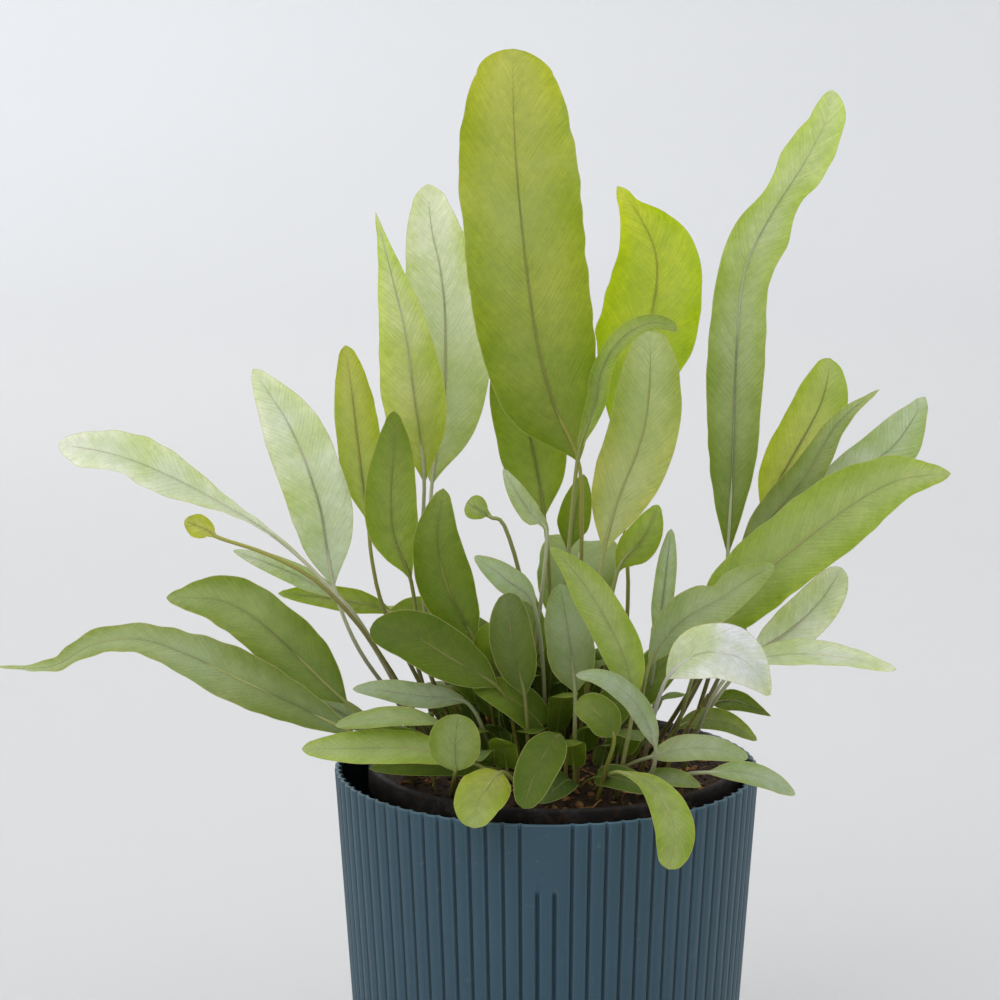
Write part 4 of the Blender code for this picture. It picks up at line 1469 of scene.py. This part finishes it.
class FERN_OT_young_fronds(bpy.types.Operator):
    """Builds the small young fronds that fill the crown among the stalks."""

    bl_idname = "fern.young_fronds"
    bl_label = "Young fronds"

    def execute(self, context):
        rng = random.Random(29)
        points, faces, indices, tints = [], [], [], []
        along, across, half, shares = [], [], [], []
        plan = scattered_young(context.scene.fern_sizes.young_count, rng) + chosen_young()
        for number, (centres, side, width, shade) in enumerate(plan):
            made = young_frond(centres, side, width, number)
            first = len(points)
            points += made[0]
            faces += [tuple(first + i for i in face) for face in made[1]]
            indices += made[2]
            along += made[3]
            across += made[4]
            half += made[5]
            shares += made[6]
            tints += tint_values(*shade, made[6], rng).tolist()
        materials = [bpy.data.materials["fern_blade"], bpy.data.materials["fern_stalk"]]
        obj = finish_mesh("young_fronds", points, faces, materials, True, indices)
        set_values(obj, "along_mm", along)
        set_values(obj, "across_mm", across)
        set_values(obj, "half_mm", half)
        set_values(obj, "share", shares)
        set_values(obj, "bloom", [0.10] * len(points))
        set_values(obj, "vivid", [1.0] * len(points))
        set_tints(obj, "tint", tints)
        place(obj)
        return {"FINISHED"}


# Studio

# Places in metres, the camera's turns in degrees and its lens in millimetres
CAMERA_PLACE = (0.0, -0.915, 0.385)
CAMERA_DOWN = 10.3
CAMERA_LEFT = 0.96
CAMERA_LENS = 102.9
FLOOR_RADIUS = 2.6
SWEEP_RADIUS = 1.6
WALL_HEIGHT = 3.2


def aim(obj, target):
    """Turns a light towards a place."""
    obj.rotation_euler = (Vector(target) - obj.location).to_track_quat("-Z", "Y").to_euler()


def add_area(name, location, target, size, power, tone):
    """Adds one round soft light."""
    light = bpy.data.lights.new(name, "AREA")
    light.shape = "DISK"
    light.size = size
    light.energy = power
    light.color = tone
    obj = bpy.data.objects.new(name, light)
    bpy.context.scene.collection.objects.link(obj)
    obj.location = location
    aim(obj, target)
    return obj


class FERN_OT_studio(bpy.types.Operator):
    """Builds the pale floor, the soft lights and the camera."""

    bl_idname = "fern.studio"
    bl_label = "Studio"

    def execute(self, context):
        scene = context.scene
        colours = scene.fern_colours
        count = 96
        profile = [(0.4, 0.0), (1.2, 0.0), (FLOOR_RADIUS, 0.0)]
        for step in range(1, 13):
            angle = step / 12 * math.pi / 2
            radius = FLOOR_RADIUS + SWEEP_RADIUS * math.sin(angle)
            profile.append((radius, SWEEP_RADIUS * (1 - math.cos(angle))))
        profile.append((FLOOR_RADIUS + SWEEP_RADIUS, WALL_HEIGHT))
        points = turned([(radius / MM, height / MM) for radius, height in profile], count, (0.0, 0.0))
        faces = [tuple(reversed(face)) for face in grid_faces(len(profile), count, True)]
        faces.append(tuple(range(count)))
        floor = finish_mesh("studio_floor", points, faces, [floor_material(colours)])
        world = bpy.data.worlds.new("studio_air")
        world.use_nodes = True
        air = world.node_tree.nodes["Background"]
        air.inputs["Color"].default_value = (0.965, 0.975, 1.0, 1.0)
        air.inputs["Strength"].default_value = 1.2
        scene.world = world
        add_area("back_light", (-0.5, 1.3, 1.7), (0, 0, 0.2), 1.8, 14.0, (1.0, 0.99, 0.96))
        add_area("front_light", (-1.1, -1.5, 1.6), (0, 0, 0.15), 1.6, 14.0, (1.0, 1.0, 1.0))
        add_area("right_light", (1.6, -0.4, 1.3), (0, 0, 0.15), 1.4, 4.0, (0.96, 0.98, 1.0))
        camera = bpy.data.cameras.new("camera")
        camera.sensor_width = 36.0
        camera.lens = CAMERA_LENS
        camera.clip_start = 0.01
        camera.clip_end = 100.0
        obj = bpy.data.objects.new("camera", camera)
        scene.collection.objects.link(obj)
        obj.location = CAMERA_PLACE
        obj.rotation_euler = (math.radians(90.0 - CAMERA_DOWN), 0.0, math.radians(CAMERA_LEFT))
        scene.camera = obj
        scene.view_settings.view_transform = "Standard"
        return {"FINISHED"}


class FERN_PT_panel(bpy.types.Panel):
    """Lists the plant's pieces in the sidebar."""

    bl_idname = "FERN_PT_panel"
    bl_label = "Potted fern"
    bl_space_type = "VIEW_3D"
    bl_region_type = "UI"
    bl_category = "Fern"

    def draw(self, context):
        layout = self.layout
        for operator in OPERATORS:
            layout.operator(operator.bl_idname)
        for group in (context.scene.fern_sizes, context.scene.fern_colours):
            for key in group.__annotations__:
                layout.prop(group, key)


OPERATORS = (
    FERN_OT_cover_pot,
    FERN_OT_nursery_pot,
    FERN_OT_potting_mix,
    FERN_OT_rhizome,
    FERN_OT_fronds,
    FERN_OT_young_fronds,
    FERN_OT_studio,
)
CLASSES = (FernSizes, FernColours, *OPERATORS, FERN_PT_panel)


def register():
    for made in CLASSES:
        bpy.utils.register_class(made)
    bpy.types.Scene.fern_sizes = bpy.props.PointerProperty(type=FernSizes)
    bpy.types.Scene.fern_colours = bpy.props.PointerProperty(type=FernColours)


def unregister():
    del bpy.types.Scene.fern_colours
    del bpy.types.Scene.fern_sizes
    for made in reversed(CLASSES):
        bpy.utils.unregister_class(made)


def main():
    """Builds every piece in order."""
    register()
    bpy.ops.fern.cover_pot()
    bpy.ops.fern.nursery_pot()
    bpy.ops.fern.potting_mix()
    bpy.ops.fern.rhizome()
    bpy.ops.fern.fronds()
    bpy.ops.fern.young_fronds()
    bpy.ops.fern.studio()


if __name__ == "__main__":
    main()
